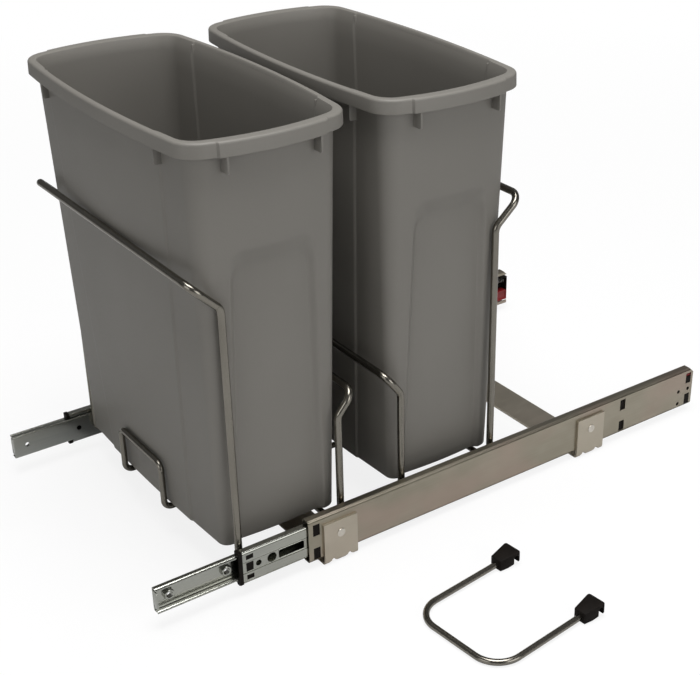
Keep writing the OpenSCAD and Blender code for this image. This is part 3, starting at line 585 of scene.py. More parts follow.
@dataclass
class Bin:
    """A tapered bin, moulded in one piece: bowed walls, a raised panel on each long face, a sunk
    panel on each narrow face, and a hooked rim with fins under it.

    A pair of sizes is the size at the foot and at the rim, or along X and Y for the rim itself.
    """

    node: str
    foot: Spot = (139.0, 63.0)
    head: Spot = (155.5, 77.5)
    bow: Spot = (3.0, 7.5)
    corner: Spot = (10.0, 19.0)
    wall: float = 2.4
    foot_round: float = 2.5
    # The hollow under the foot: its depth, the insets of its floor and edge, and the standing edge
    hollow: float = 1.2
    hollow_insets: Spot = (9.0, 7.5)
    stand_inset: float = 6.5
    rim_h: float = 13.0
    rim_out: Spot = (10.5, 8.0)
    rim_flat: Spot = (12.0, 7.5)
    rim_corner: float = 27.0
    rim_round: float = 2.4
    rim_draft: float = 0.3
    skirt: float = 2.2
    flange: float = 3.0
    # Soft edges of the rim's hook: inside it, at the skirt's inner edge and at its outer edge
    hook_ease: float = 0.6
    lip_ease: Spot = (0.4, 0.2)
    edge_ease: float = 0.5
    # The rim's inner edge, ring by ring: drop, distance from the edge, share of the way across
    # the narrow sides, and share of the long panel's height
    inner_edge: tuple[tuple[float, ...], ...] = (
        (0.1, 1.4, 0.85, 0.6), (0.5, 0.5, 0.97, 1.0), (1.5, 0.0, 1.0, 1.0))
    # The grip: how far the narrow ends' middles stand out, their half width and soft edge
    grip: float = 2.0
    grip_half: float = 49.5
    grip_edge: float = 0.7
    grip_lead: float = 4.0
    proud: float = 1.3
    sunk: float = 4.8
    long_panel: Spot = (79.0, 105.0)
    narrow_panel: Spot = (48.0, 38.5)
    panel_top: float = 288.0
    panel_round: float = 13.0
    ledge: float = 17.0
    long_edge: float = 3.0
    narrow_edge: float = 6.0
    # Where the outline has points: off the narrow panel's edge, off the long panel's edge, and as
    # shares of the long panel's half length
    narrow_steps: tuple[float, ...] = (
        -20, -17.5, -15, -13, -11, -9.5, -8, -7, -6, -5, -4, -3, -2, -1, 0, 1.2)
    long_steps: tuple[float, ...] = (8, 5, 4, 3, 2.3, 1.5, 0.7, 0, -2)
    long_shares: tuple[float, ...] = (0.85, 0.7, 0.55, 0.4, 0.25, 0.12, 0)
    # Where the rings are close together: below and above the narrow panel's top
    crown: Spot = (44.0, 4.0)
    # A fin: reach on the narrow sides, thickness and drop, then its places along Y and X
    fin: Point = (10.3, 1.9, 14.6)
    fin_at: Spot = (42.7, 106.5)
    fin_long_reach: float = 6.4
    fin_root: float = 1.2
    fin_sink: float = 0.4
    fin_round: float = 2.4
    fin_edge: float = 0.4

    def __post_init__(self) -> None:
        """Reads the bin's place from its CAD node."""
        low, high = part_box(self.node)
        self.y = (low.y + high.y) / 2 / MM
        self.z = low.z / MM
        self.top = high.z / MM
        self.rim_z = self.top - self.rim_h

    def _at(self, pair: Spot, z: float) -> float:
        """Gives a size that changes evenly from the bin's foot to its rim."""
        share = (min(z, self.rim_z) - self.z) / (self.rim_z - self.z)
        return pair[0] + (pair[1] - pair[0]) * share

    def _recess(self, y: float, z: float) -> float:
        """Gives how deep the narrow panel lies at a point, as a share of its full depth.

        Args:
            y: distance from the bin's middle plane.
            z: height in the frame.

        Returns:
            0 on the wall around the panel, 1 on the panel.
        """
        half = self._at(self.narrow_panel, z)
        crown = self.z + self.panel_top

        def inside(shrink: float, drop: float) -> float:
            """Gives the distance to a panel outline, below 0 inside it.

            Args:
                shrink: how far the outline lies inside the panel's sides.
                drop: how far it lies below the panel's top.

            Returns:
                The signed distance.
            """
            dy = abs(y) - (half - shrink - self.panel_round)
            dz = z - (crown - drop - self.panel_round)
            return math.hypot(max(dy, 0), max(dz, 0)) + min(max(dy, dz), 0) - self.panel_round

        outer = -inside(0, 0)
        inner = inside(self.narrow_edge, self.ledge)
        if outer <= 0:
            return 0.0
        if inner <= 0:
            return 1.0
        share = outer / (outer + inner)
        return (share + eased(share)) / 2

    def _quarter(self, half: Spot, bow: float, r: float, z: float, proud: float, sunk: float,
                 grip: float | None) -> list[Spot]:
        """Draws a quarter of the outline, from the narrow face's middle to the long face's middle.

        Args:
            half: half length along X and half width along Y.
            bow: how far the faces bulge at their middles.
            r: corner radius.
            z: height in the frame.
            proud: height of the long panel.
            sunk: depth of the narrow panel.
            grip: how much the narrow end's middle stands out past its corners; None below the rim.

        Returns:
            Points in the first quarter, measured from the bin's middle.
        """
        a, b = half
        turn_a = math.atan(2 * bow / (b - bow - r))
        turn_b = math.pi / 2 - math.atan(2 * bow / (a - bow - r))
        a_low = a - (grip or 0)
        end_y = b - bow - r * (math.sin(turn_b) - math.sin(turn_a))
        end_x = a_low - bow - r * (math.cos(turn_a) - math.cos(turn_b))
        hub = (a_low - bow - r * math.cos(turn_a), end_y - r * math.sin(turn_a))
        narrow = self._at(self.narrow_panel, z)
        panel = self._at(self.long_panel, z)
        edge = self.grip_edge
        rows = [narrow + step for step in self.narrow_steps]
        if grip is None:
            last = spaced(rows[-1], end_y, spans=7)[1:-1]
        else:
            last = [self.grip_half + e for e in (-self.grip_lead, -2 * edge, -edge, 0, edge, 2 * edge)]
        points: list[Spot] = []
        for y in spaced(0, rows[0], spans=4)[:-1] + rows + last:
            out = a - bow * (y / end_y) ** 2 - sunk * self._recess(y, z)
            low = min(max((y - self.grip_half + edge) / (2 * edge), 0), 1)
            points.append((out - (grip or 0) * low, y))
        for turn in spaced(turn_a, turn_b, spans=12):
            points.append((hub[0] + r * math.cos(turn), hub[1] + r * math.sin(turn)))
        for x in [panel + s for s in self.long_steps] + [panel * s for s in self.long_shares]:
            rise = 1 - min(max((x - panel) / self.long_edge, 0), 1)
            points.append((x, b - bow * (x / end_x) ** 2 + proud * eased(rise)))
        return points

    def _ring(self, quarter: Sequence[Spot], z: float) -> list[Point]:
        """Mirrors a quarter outline into a closed ring at a height.

        Args:
            quarter: points of one quarter.
            z: height.

        Returns:
            The ring's points, all the way round.
        """
        left = [(-x, y) for x, y in reversed(quarter[:-1])]
        far_left = [(-x, -y) for x, y in quarter[1:]]
        far_right = [(x, -y) for x, y in reversed(quarter[1:-1])]
        return [(x, self.y + y, z) for x, y in [*quarter, *left, *far_left, *far_right]]

    def _body(self, z: float, inset: float) -> list[Point]:
        """Draws the body's outline at a height, moved in by an inset.

        Args:
            z: height.
            inset: distance in from the outer face.

        Returns:
            The ring's points.
        """
        half = tuple(self._at(pair, z) - inset for pair in zip(self.foot, self.head))
        quarter = self._quarter(half, self._at(self.bow, z), self._at(self.corner, z) - inset, z,
                                self.proud, self.sunk, None)
        return self._ring(quarter, z)

    def _rim(self, z: float, inset: float, share: float = 0.0, proud: float = 0.0) -> list[Point]:
        """Draws an outline of the rim.

        Args:
            z: height.
            inset: distance in from the rim's outer face on the long sides.
            share: how far the narrow sides are from the outer face towards the rim's inner edge.
            proud: height of the long panel where it runs through the rim's inner edge.

        Returns:
            The ring's points.
        """
        across = inset + share * (self.rim_flat[0] - self.rim_flat[1])
        half = (self.head[0] + self.rim_out[0] - across, self.head[1] + self.rim_out[1] - inset)
        quarter = self._quarter(half, self.bow[1], self.rim_corner - inset, self.rim_z, proud, 0,
                                self.grip * (1 - share))
        return self._ring(quarter, z)

    def _heights(self, low: float, high: float) -> list[float]:
        """Lists the heights of the body's rings, close together at the narrow panel's crown.

        Args:
            low: height of the first ring.
            high: height of the last ring.

        Returns:
            The heights, going up.
        """
        crown = self.z + self.panel_top
        fine = spaced(crown - self.crown[0], crown + self.crown[1], spans=24)
        return spaced(low, fine[0], spans=10)[:-1] + fine + spaced(fine[-1], high, spans=5)[1:]

    def _rings(self) -> list[list[Point]]:
        """Lists the rings from under the foot, up the outside, over the rim and down the inside.

        Returns:
            The rings in order.
        """
        z, top, r = self.z, self.top, self.foot_round
        turns = spaced(0, math.pi / 2, spans=5)
        rings = [self._body(z + self.hollow, inset) for inset in self.hollow_insets]
        rings.append(self._body(z, self.stand_inset))
        rings += [self._body(z + r * (1 - math.cos(t)), r * (1 - math.sin(t))) for t in turns]
        under = top - self.flange
        rings += [self._body(h, 0) for h in self._heights(z + r, self.rim_z)[1:]]
        rings += [self._body(h, 0) for h in spaced(self.rim_z, under, spans=2)[1:]]
        hook = [(under, self.skirt + self.hook_ease), (under - self.hook_ease, self.skirt),
                (self.rim_z + self.lip_ease[0], self.skirt - self.lip_ease[1]),
                (self.rim_z, self.skirt - self.hook_ease), (self.rim_z, self.edge_ease),
                (self.rim_z + self.edge_ease, 0.0)]
        hook += [(top - self.rim_round * (1 - math.sin(t)),
                  self.rim_draft + self.rim_round * (1 - math.cos(t)))
                 for t in spaced(0, math.pi / 2, spans=6)]
        rings += [self._rim(h, inset) for h, inset in hook]
        for drop, short, share, panel in self.inner_edge:
            rings.append(self._rim(top - drop, self.rim_flat[1] - short, share, self.proud * panel))
        floor = z + self.wall
        rings += [self._body(h, self.wall) for h in reversed(self._heights(floor + r, self.rim_z))]
        rings += [self._body(floor + r * (1 - math.sin(t)), self.wall + r * (1 - math.cos(t)))
                  for t in turns[1:]]
        return rings

    def _fin(self, at: Point, out: Spot, reach: float) -> bpy.types.Object:
        """Shapes one fin under the rim from a block.

        Args:
            at: foot of the fin on the wall, at the height of the skirt's lower edge.
            out: direction that the fin stands out in, along X and Y.
            reach: how far it stands out.

        Returns:
            The fin.
        """
        _, thick, drop = self.fin
        up = self.rim_h - self.flange + self.fin_sink
        obj = add_block()
        bm = edit(obj)
        for vert in bm.verts:
            x = reach if vert.co.x > 0 else -self.fin_root
            vert.co = Vector((x, thick * vert.co.y, up if vert.co.z > 0 else -drop))
        pick_edges(bm, lambda e: all(v.co.x > 0 and v.co.z < 0 for v in e.verts))
        bpy.ops.mesh.bevel(offset=self.fin_round, segments=4, affect="EDGES")
        close(obj)
        break_edges(obj, self.fin_edge, segments=2)
        turn = Matrix.Rotation(math.atan2(out[1], out[0]), 4, "Z")
        obj.data.transform(Matrix.Scale(MM, 4) @ Matrix.Translation(Vector(at)) @ turn)
        return obj

    def _fins(self) -> list[bpy.types.Object]:
        """Shapes the eight fins, two under each side of the rim.

        Returns:
            The fins.
        """
        z = self.rim_z
        ring = self._quarter(self.head, self.bow[1], self.corner[1], z, 0, 0, None)
        y, x = self.fin_at
        wall_a = min((spot for spot in ring if spot[0] >= x), key=lambda spot: abs(spot[1] - y))[0]
        wall_b = min((spot for spot in ring if spot[1] >= y), key=lambda spot: abs(spot[0] - x))[1]
        made = []
        for s in (-1, 1):
            for t in (-1, 1):
                made.append(self._fin((s * wall_a, self.y + t * y, z), (s, 0), self.fin[0]))
                made.append(self._fin((t * x, self.y + s * wall_b, z), (0, s), self.fin_long_reach))
        return made

    def build(self) -> bpy.types.Object:
        """Models the bin, dresses it and seats it on its body.

        Returns:
            The bin as one piece.
        """
        shell = loft(self._rings())
        cap_ends(shell)
        shell = join([shell, *self._fins()])
        smooth(shell, degrees=38)
        return place_piece(shell, f"{self.node}_shell", self.node, Slot.BIN, [self.node])


# Hardware of the slides


def turned(profile: Sequence[Spot], sides: int, flats: float | None = None) -> bpy.types.Object:
    """Turns a profile about Z, and mills it to a hexagon where that is asked for.

    Args:
        profile: radius and height of each ring, in millimetres.
        sides: points on a ring, a multiple of six.
        flats: distance across the flats of the hexagon.

    Returns:
        An open skin about Z.
    """
    def radius(r: float, turn: float) -> float:
        """Radius at an angle, cut off at the hexagon's flats."""
        off = turn % (math.pi / 3) - math.pi / 6
        return min(r, flats / 2 / math.cos(off)) if flats else r

    turns = [2 * math.pi * i / sides for i in range(sides)]
    return loft([[(radius(r, t) * math.cos(t), radius(r, t) * math.sin(t), h) for t in turns]
                 for r, h in profile])


def on_both_slides(first: bpy.types.Object, face: float, places: Sequence[float]) -> bpy.types.Object:
    """Copies a piece turned about Z to the faces of both slides that look away from the frame's middle.

    Args:
        first: the piece, which is used up.
        face: distance of the faces from the middle plane.
        places: places along the rails.

    Returns:
        The copies, joined.
    """
    made = []
    for side in Side:
        turn = Matrix.Rotation(side.value * math.pi / 2, 4, "Y")
        for y in places:
            twin = copy_of(first)
            twin.data.transform(Matrix.Translation(Vector((side.value * face, y, RAIL_LEVEL)) * MM) @ turn)
            made.append(twin)
    bpy.data.objects.remove(first)
    return join(made)


@dataclass
class StrapRivets:
    """The four rivets that hold the rails to the straps: low domes with a dimple from the setting tool."""

    head: float = 4.3
    shank: float = 2.5
    length: float = 3.7
    lip: float = 0.6
    dome: float = 0.6
    dome_turn: float = 72.0
    # The dimple's rings: radius, and height as a share of the dome's
    dimple: tuple[Spot, ...] = ((1.0, 0.8), (0.5, 0.6))
    places: Spot = (-156.5, 156.5)

    def build(self) -> bpy.types.Object:
        """Models one rivet, copies it to the four places and joins the set.

        Returns:
            The rivets as one piece.
        """
        profile = [(self.shank, -self.length), (self.shank, 0), (self.head, 0), (self.head, self.lip)]
        for turn in spaced(0, math.radians(self.dome_turn), spans=6)[1:]:
            profile.append((self.head * math.cos(turn), self.lip + self.dome * math.sin(turn)))
        profile += [(r, self.lip + share * self.dome) for r, share in self.dimple]
        first = turned(profile, sides=36)
        cap_ends(first)
        rivets = on_both_slides(first, TAB_FACE, self.places)
        smooth(rivets, degrees=40)
        return place_piece(rivets, "strap_rivet_set", "base", Slot.ZINC, ["strap_rivets"], RIVET_STEEL)


@dataclass
class BracketNuts:
    """The four chamfered nuts that are pressed into the inner rails for the door brackets."""

    flats: float = 9.0
    height: float = 3.4
    bore: float = 2.5
    shank: float = 3.11
    depth: float = 1.2
    # The chamfer over the corners: its start, and a point on it, inwards and below the top
    chamfer: float = 0.75
    chamfer_mid: Spot = (0.28, 0.3)
    # The bore's countersink: how much wider and how deep
    sink: Spot = (0.75, 0.6)
    ease: float = 0.1
    face: float = 153.4
    places: Spot = (-326.9, -270.7)

    def build(self) -> bpy.types.Object:
        """Models one nut, copies it to the four places and joins the set.

        Returns:
            The nuts as one piece.
        """
        corner = self.flats / 2 / math.cos(math.pi / 6)
        top = self.height
        profile = [(self.bore, -self.depth), (self.shank, -self.depth), (self.shank, 0), (corner, 0),
                   (corner, top - self.chamfer), (corner - self.chamfer_mid[0], top - self.chamfer_mid[1]),
                   (self.flats / 2 - self.ease, top), (self.bore + self.sink[0], top),
                   (self.bore + self.ease, top - self.sink[1])]
        first = turned(profile, sides=48, flats=self.flats)
        edit(first)
        bpy.ops.mesh.select_all(action="DESELECT")
        bpy.ops.mesh.select_non_manifold()
        bpy.ops.mesh.bridge_edge_loops()
        turn_outwards()
        close(first)
        nuts = on_both_slides(first, self.face, self.places)
        smooth(nuts, degrees=25)
        return place_piece(nuts, "bracket_nut_set", "cradle", Slot.ZINC, ["bracket_nuts"])


@dataclass(frozen=True)
class Crease:
    """A crease along a rail: its height from the rail's middle, half its width, and the depth of its
    floor below the fixed rail's face.
    """

    height: float
    half: float
    floor: float


FIXED_CREASES = (Crease(20.6, 0.75, 1.05),)
MIDDLE_CREASES = (Crease(5.7, 0.4, 2.9), Crease(15.0, 0.4, 2.7))


@dataclass
class CreasedRail:
    """A roll-formed rail with the creases that the rollers leave along its web.

    The shape is the CAD rail's own, and each crease is cut along it above and below the middle.
    """

    side: Side
    node: str
    body: str
    slot: Slot
    creases: tuple[Crease, ...]
    past: float = 1.0
    taper: float = 0.8

    def _bar(self, crease: Crease, sign: int) -> bpy.types.Object:
        """Shapes the cutter of one crease.

        Args:
            crease: the crease.
            sign: 1 above the rail's middle, -1 below it.

        Returns:
            A bar that tapers towards the crease's floor and runs past both ends of the rail.
        """
        low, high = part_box(self.node)
        half, floor = crease.half, crease.floor
        foot = self.taper * half
        section = [(-half, floor - self.past), (half, floor - self.past), (foot, floor), (-foot, floor)]
        middle = RAIL_LEVEL + sign * crease.height
        bar = loft([[(self.side.value * (RAIL_FACE - d), y, middle + h) for h, d in section]
                    for y in (low.y / MM - self.past, high.y / MM + self.past)])
        cap_ends(bar)
        return bar

    def build(self) -> bpy.types.Object:
        """Cuts the creases into a copy of the CAD rail and seats it on its body.

        Returns:
            The rail.
        """
        bars = [self._bar(crease, sign) for crease in self.creases for sign in (-1, 1)]
        rail = carved(self.node, bars)
        return place_piece(rail, f"{self.node}_creased", self.body, self.slot, [self.node])


@dataclass
class FloorStrap:
    """A floor strap whose turned-up tabs have a scalloped lower edge."""

    node: str
    # The scallops: distance from the tab's middle, radius, and how high they reach
    relief_off: float = 9.0
    scallop: float = 6.0
    rise: float = 3.3
    drill_len: float = 10.0

    def build(self) -> bpy.types.Object:
        """Cuts the scallops into a copy of the CAD strap and seats it on the base.

        Returns:
            The strap.
        """
        low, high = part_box(self.node)
        middle = (low.y + high.y) / 2
        z = low.z + (self.rise - self.scallop) * MM
        drills = [add_drill(self.scallop * MM, self.drill_len * MM,
                            (side.value * RAIL_FACE * MM, middle + off * MM, z), sides=64)
                  for side in Side for off in (-self.relief_off, self.relief_off)]
        strap = carved(self.node, drills)
        return place_piece(strap, f"{self.node}_scalloped", "base", Slot.RAIL, [self.node], STRAP_STEEL)


@dataclass
class InnerRail:
    """One inner rail: a channel with a ball race pressed along each flange and a turned front end.

    Depths are below the fixed rail's face.
    """

    side: Side
    height: float = 24.8
    gauge: float = 1.2
    bend: float = 1.5
    tip: float = 4.8
    back: float = 12.7
    race_at: float = 6.8
    race_half: float = 1.6
    race_deep: float = 0.7
    # The turned end: reach, thickness and height, its rounding, and its gap behind the rail's front
    tab: Point = (6.5, 1.5, 18.0)
    tab_corner: float = 2.5
    tab_edge: float = 0.25
    tab_gap: float = 0.05
    hole: float = 3.2
    drill_len: float = 4.8

    def _flange(self, inset: float) -> list[Spot]:
        """Draws one face of the upper flange, from its tip round the bend to the web.

        Args:
            inset: 0 for the outer face, the gauge for the inner face.

        Returns:
            Depth and height above the rail's middle, point by point.
        """
        r = self.bend - inset
        rise = self.height / 2 - inset
        end = self.back - inset - r
        points = [(self.tip, rise)]
        points += [(self.race_at + self.race_half * t,
                    rise - self.race_deep * (1 + math.cos(math.pi * t)) / 2) for t in spaced(-1, 1, spans=12)]
        points += [(end + r * math.cos(t), rise - r + r * math.sin(t))
                   for t in spaced(math.pi / 2, 0, spans=6)]
        return points

    def _ring(self, y: float) -> list[Point]:
        """Draws the channel's section.

        Args:
            y: place along the rail.

        Returns:
            The ring's points.
        """
        outer, inner = self._flange(0), self._flange(self.gauge)
        section = [*outer, *((d, -z) for d, z in reversed(outer)), *((d, -z) for d, z in inner),
                   *reversed(inner)]
        return [(self.side.value * (RAIL_FACE - d), y, RAIL_LEVEL + z) for d, z in section]

    def _end(self, y: float) -> bpy.types.Object:
        """Shapes the turned front end from a block.

        Args:
            y: the rail's front end.

        Returns:
            The end, rounded at its free corners.
        """
        reach, thick, tall = self.tab
        far = RAIL_FACE - self.back + self.gauge + reach
        root = RAIL_FACE - self.back + self.gauge / 2
        obj = add_block()
        bm = edit(obj)
        for vert in bm.verts:
            x = self.side.value * (far if vert.co.x > 0 else root)
            vert.co = Vector((x, y + thick * (vert.co.y + 0.5), RAIL_LEVEL + tall * vert.co.z)) * MM
        pick_edges(bm, lambda e: all(abs(v.co.x) > (far - TOUCH) * MM for v in e.verts)
                   and abs(e.verts[0].co.z - e.verts[1].co.z) < TOUCH * MM)
        bpy.ops.mesh.bevel(offset=self.tab_corner * MM, segments=6)
        turn_outwards()
        close(obj)
        break_edges(obj, self.tab_edge * MM, segments=2)
        return obj

    def build(self) -> bpy.types.Object:
        """Models the rail, joins its turned end, drills the nut holes and seats it on the cradle.

        Returns:
            The rail.
        """
        node = f"inner_rail_{self.side.tag}"
        low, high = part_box(node)
        rail = loft([self._ring(low.y / MM), self._ring(high.y / MM)])
        cap_ends(rail)
        use_tools(rail, Work.ADD, [self._end(low.y / MM + self.tab_gap)])
        x = self.side.value * (RAIL_FACE - self.back)
        spots = [Vector((x, y, RAIL_LEVEL)) * MM for y in BracketNuts.places]
        use_tools(rail, Work.CUT, [add_drill(self.hole * MM, self.drill_len * MM, spot) for spot in spots])
        smooth(rail, degrees=40)
        return place_piece(rail, f"{node}_raced", "cradle", Slot.ZINC, [node])


@dataclass
class SlotBorder:
    """The raised border that stiffens the slot in one middle rail."""

    side: Side
    length: float = 27.0
    height: float = 8.6
    start: float = 37.0
    depth: float = 2.5
    corner: float = 1.6
    # The border's section: distance outside the slot's edge, and depth below the rail's web
    section: tuple[Spot, ...] = ((1.0, 0.1), (0.95, 0.0), (0.7, -0.2), (0.2, -0.2), (-0.1, 0.0), (-0.15, 0.9))

    def _ring(self, y: float, grow: float, d: float) -> list[Point]:
        """Draws a rounded rectangle around the slot.

        Args:
            y: the slot's middle along the rail.
            grow: how far it lies outside the slot's edge.
            d: depth below the fixed rail's outer face.

        Returns:
            The ring's points.
        """
        r = self.corner + grow
        half = (self.length / 2 + grow - r, self.height / 2 + grow - r)
        ring = []
        for i, (sy, sz) in enumerate(((1, 1), (-1, 1), (-1, -1), (1, -1))):
            for turn in spaced(math.pi / 2 * i, math.pi / 2 * (i + 1), spans=5):
                ring.append((self.side.value * (RAIL_FACE - d), y + sy * half[0] + r * math.cos(turn),
                             RAIL_LEVEL + sz * half[1] + r * math.sin(turn)))
        return ring

    def build(self) -> bpy.types.Object:
        """Models the border and seats it on its rail.

        Returns:
            The border.
        """
        tag = self.side.tag
        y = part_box(f"mid_rail_{tag}")[0].y / MM + self.start + self.length / 2
        border = loft([self._ring(y, grow, self.depth + d) for grow, d in self.section])
        edit(border)
        turn_outwards()
        close(border)
        smooth(border, degrees=50)
        return place_piece(border, f"slot_border_{tag}", f"mid_{tag}", Slot.ZINC)


@dataclass
class HandleClips:
    """The two clips on the ends of the loose handle: a block that widens to a downward hook.

    A pair of sizes is the size at the leg and at the hook.
    """

    # How the handle lies: its bend's place, its turn, its legs' spread and length, and their ends' lift
    at: Point = (326.0, -147.2, 3.0)
    turn: float = 5.6
    spread: float = 103.4
    leg: float = 101.5
    lift: float = 1.6
    length: float = 23.2
    widths: Spot = (12.8, 20.6)
    heights: Spot = (11.4, 13.8)
    corner: float = 3.0
    base: float = -4.6
    heel: float = 9.0
    rise: float = 3.5
    lip: float = 2.6
    throat: float = 5.2
    throat_top: float = 10.6
    tool_len: float = 40.0
    edge: float = 1.0
    edge_angle: float = 12.0

    def _block(self) -> bpy.types.Object:
        """Shapes the block from a cube: wedge, heel and rounded edges.

        Returns:
            The block, in millimetres.
        """
        obj = add_block()
        bm = edit(obj)
        for vert in bm.verts:
            far = vert.co.y > 0
            foot = self.rise if far else 0.0
            z = self.base + (self.heights[far] if vert.co.z > 0 else foot)
            vert.co = Vector((self.widths[far] * vert.co.x, self.length if far else 0.0, z))
        bpy.ops.mesh.select_all(action="SELECT")
        bpy.ops.mesh.bisect(plane_co=(0, self.heel, 0), plane_no=(0, 1, 0))
        bm = bmesh.from_edit_mesh(obj.data)
        for vert in bm.verts:
            if abs(vert.co.y - self.heel) < TOUCH and vert.co.z < 0:
                vert.co.z = self.base
        pick_edges(bm, self._far_corner)
        bpy.ops.mesh.bevel(offset=self.corner, segments=9)
        close(obj)
        break_edges(obj, self.edge, segments=3, degrees=self.edge_angle)
        return obj

    def _far_corner(self, edge: bmesh.types.BMEdge) -> bool:
        """Tells whether an edge is an upright corner of the hook end."""
        a, b = (vert.co for vert in edge.verts)
        return min(a.y, b.y) > self.length - TOUCH and a.x * b.x > 0

    def _throat(self, obj: bpy.types.Object) -> None:
        """Cuts the hook's throat with a round-ended tool.

        Args:
            obj: the block.
        """
        r = self.throat / 2
        y = self.length - self.lip - r
        z = self.base + self.throat_top - r
        reach = self.tool_len
        drill = add_drill(r, reach, (0, y, z))
        cutter = add_block(location=(0, y, z - reach / 2), scale=(reach, self.throat, reach))
        use_tools(obj, Work.CUT, [drill, cutter])

    def build(self) -> bpy.types.Object:
        """Models one clip, copies it to the other leg and joins the pair.

        Returns:
            The clips as one piece.
        """
        first = self._block()
        self._throat(first)
        tilt = math.asin(self.lift / self.leg)
        lie = (Matrix.Translation(self.at) @ Matrix.Rotation(math.radians(self.turn), 4, "Z")
               @ Matrix.Rotation(tilt, 4, "X"))
        second = copy_of(first)
        for sign, clip in ((-1, first), (1, second)):
            seat = Matrix.Translation((sign * self.spread / 2, self.leg, 0))
            clip.data.transform(Matrix.Scale(MM, 4) @ lie @ seat)
        clips = join([first, second])
        smooth(clips, degrees=30)
        return place_piece(clips, "handle_clip_pair", "handle", Slot.BLACK, ["handle_clips"])


# Closers


@dataclass
class CloserSpring:
    """The return spring of one closer, as a coil in the place of its CAD tube."""

    side: Side
    wire: float = 0.9
    sides: int = 8
    turns: int = 34
    steps: int = 14
    travel: float = 30.0

    def build(self) -> bpy.types.Object:
        """Winds the coil with a screw modifier and seats it on the base.

        Returns:
            The spring.
        """
        tag = self.side.tag
        node = f"closer_spring_{tag}"
        low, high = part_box(node)
        length = high.y - low.y
        middle = (low + high) / 2
        thick = self.wire * MM
        radius = (high.z - low.z) / 2 - thick / 2
        deselect()
        bpy.ops.mesh.primitive_circle_add(vertices=self.sides, radius=thick / 2)
        obj = bpy.context.object
        bm = edit(obj)
        for vert in bm.verts:
            x, y, _ = vert.co
            vert.co = Vector((0, y, radius + x))
        close(obj)
        modify(obj, "SCREW", axis="Y", screw_offset=(length - thick) / self.turns, iterations=self.turns,
               steps=self.steps, render_steps=self.steps, use_normal_calculate=True)
        cap_ends(obj)
        obj.data.transform(Matrix.Translation((middle.x, low.y + thick / 2, middle.z)))
        smooth(obj, degrees=60)
        place_piece(obj, f"return_spring_{tag}", "base", Slot.SPRING, [node])
        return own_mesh(obj)


# Studio


@dataclass(frozen=True)
class SoftBox:
    """A soft lamp: where it hangs and its size in metres, its power in watts, what it points at, and
    whether shiny surfaces mirror it.
    """

    name: str
    place: Point
    size: Spot
    power: float
    aim: Point = (0, 0, 0.15)
    shine: bool = True

    def hang(self) -> None:
        """Hangs the lamp."""
        deselect()
        bpy.ops.object.light_add(type="AREA", location=self.place)
        obj = bpy.context.object
        obj.name = self.name
        turn = (Vector(self.aim) - Vector(self.place)).to_track_quat("-Z", "Y").to_matrix().to_4x4()
        obj.matrix_world = Matrix.Translation(self.place) @ turn
        obj.data.shape = "RECTANGLE"
        obj.data.size, obj.data.size_y = self.size
        obj.data.energy = self.power
        obj.visible_glossy = self.shine


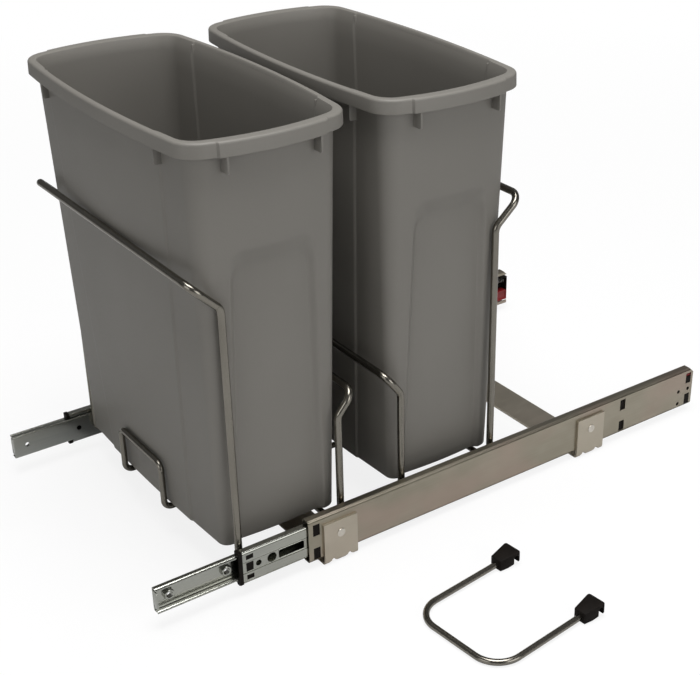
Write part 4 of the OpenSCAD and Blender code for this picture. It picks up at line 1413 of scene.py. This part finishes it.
@dataclass
class Studio:
    """A plain pale floor, soft light from above and from the sides, and the photograph's camera.

    Places are in metres. The focal length and the centre are in pixels of the photograph.
    """

    eye: Point = (1.0524, -0.7244, 0.7679)
    forward: Point = (-0.70284, 0.53311, -0.47097)
    roll: float = 0.29
    focal: float = 1378.34
    centre: Spot = (431.35, 362.76)
    image: tuple[int, int] = (700, 675)
    sensor: float = 36.0
    sight: float = 60.0
    floor_size: float = 14.0
    floor_gap: float = 0.0005
    world_level: float = 0.15
    white: str = "#F4F4F4"
    bounce: str = "#CECECE"
    glow: float = 0.85
    fade: Spot = (0.7, 1.8)
    lamps: tuple[SoftBox, ...] = (
        SoftBox("top_box", (0.35, -0.15, 2.5), (1.5, 1.5), 62, aim=(0, 0, 0.2)),
        SoftBox("right_box", (2.4, 0.4, 0.95), (1.6, 1.4), 17),
        SoftBox("back_box", (-2.2, 1.6, 0.7), (1.6, 1.2), 18, shine=False),
        SoftBox("front_box", (0.7, -2.4, 0.9), (1.4, 1.2), 9),
    )

    def camera(self) -> None:
        """Sets the camera where the photograph was taken from."""
        deselect()
        bpy.ops.object.camera_add(location=self.eye)
        cam = bpy.context.object
        cam.name = "photo_camera"
        turn = Vector(self.forward).to_track_quat("-Z", "Y").to_matrix().to_4x4()
        turn = turn @ Matrix.Rotation(math.radians(self.roll), 4, "Z")
        cam.matrix_world = Matrix.Translation(self.eye) @ turn
        data = cam.data
        data.sensor_width = self.sensor
        data.lens = self.focal * self.sensor / self.image[0]
        data.shift_x = (self.image[0] / 2 - self.centre[0]) / self.image[0]
        data.shift_y = (self.centre[1] - self.image[1] / 2) / self.image[0]
        data.clip_end = self.sight
        bpy.context.scene.camera = cam

    def floor(self) -> None:
        """Lays a white floor that shows white to the eye and still keeps the object's shadow."""
        deselect()
        bpy.ops.mesh.primitive_plane_add(size=self.floor_size)
        plane = bpy.context.object
        plane.name = "studio_floor"
        plane.location.z = CAD_BOX[0][2] - self.floor_gap
        made = bpy.data.materials.new("matt_white_floor")
        made.use_nodes = True
        tree = made.node_tree
        tree.nodes.clear()
        seen = add_node(tree, "ShaderNodeLightPath").outputs["Is Camera Ray"]
        tone = add_node(tree, "ShaderNodeMix", {"A": linear(self.bounce), "B": linear(self.white)},
                        {"Factor": seen}, data_type="RGBA")
        paint = add_node(tree, "ShaderNodeBsdfDiffuse", None, {"Color": tone.outputs["Result"]})
        glow = add_node(tree, "ShaderNodeEmission", {"Color": (1, 1, 1, 1), "Strength": 1.0})
        place = add_node(tree, "ShaderNodeTexCoord").outputs["Object"]
        away = add_node(tree, "ShaderNodeVectorMath", None, {0: place}, operation="LENGTH")
        level = add_node(tree, "ShaderNodeMapRange", {"From Min": self.fade[0], "From Max": self.fade[1],
                                                      "To Min": self.glow, "To Max": 1.0},
                         {"Value": away.outputs["Value"]})
        part = add_node(tree, "ShaderNodeMath", None, {0: seen, 1: level.outputs[0]}, operation="MULTIPLY")
        mix = add_node(tree, "ShaderNodeMixShader", None,
                       {0: part.outputs[0], 1: paint.outputs[0], 2: glow.outputs[0]})
        add_node(tree, "ShaderNodeOutputMaterial", None, {"Surface": mix.outputs[0]})
        plane.data.materials.append(made)

    def world(self) -> None:
        """Fills the room with even light, white where it is seen."""
        made = bpy.data.worlds.new("white_room")
        bpy.context.scene.world = made
        made.use_nodes = True
        tree = made.node_tree
        tree.nodes.clear()
        seen = add_node(tree, "ShaderNodeLightPath").outputs["Is Camera Ray"]
        level = add_node(tree, "ShaderNodeMapRange", {"To Min": self.world_level, "To Max": 1.0},
                         {"Value": seen})
        room = add_node(tree, "ShaderNodeBackground", {"Color": (1, 1, 1, 1)}, {"Strength": level.outputs[0]})
        add_node(tree, "ShaderNodeOutputWorld", None, {"Surface": room.outputs[0]})

    def build(self) -> None:
        """Sets up the whole studio."""
        bpy.context.scene.view_settings.view_transform = "Standard"
        self.camera()
        self.floor()
        self.world()
        for lamp in self.lamps:
            lamp.hang()


def dress_frame() -> None:
    """Gives every CAD node the finish of its slot."""
    slots = {s["node"]: s["material_slot"] for s in frame["record"]["subparts"]}
    for name, obj in frame["nodes"].items():
        finish = STRAP_STEEL if name.endswith("floor_strap") else FINISHES[Slot(slots[name])]
        obj.data.materials.clear()
        obj.data.materials.append(finish.material())
        log.info("frame part %s in %s", name, finish.name)


def main() -> None:
    """Builds the pieces in order, then the studio around them."""
    dress_frame()
    for node in ("front_bin", "rear_bin"):
        Bin(node).build()
    for node in ("front_floor_strap", "rear_floor_strap"):
        FloorStrap(node).build()
    StrapRivets().build()
    BracketNuts().build()
    for side in Side:
        tag = side.tag
        CreasedRail(side, f"outer_rail_{tag}", "base", Slot.RAIL, FIXED_CREASES).build()
        CreasedRail(side, f"mid_rail_{tag}", f"mid_{tag}", Slot.ZINC, MIDDLE_CREASES).build()
        InnerRail(side).build()
        SlotBorder(side).build()
        CloserSpring(side).build()
    HandleClips().build()
    Studio().build()
    deselect()


if __name__ == "__main__":
    logging.basicConfig(level=logging.INFO)
    main()
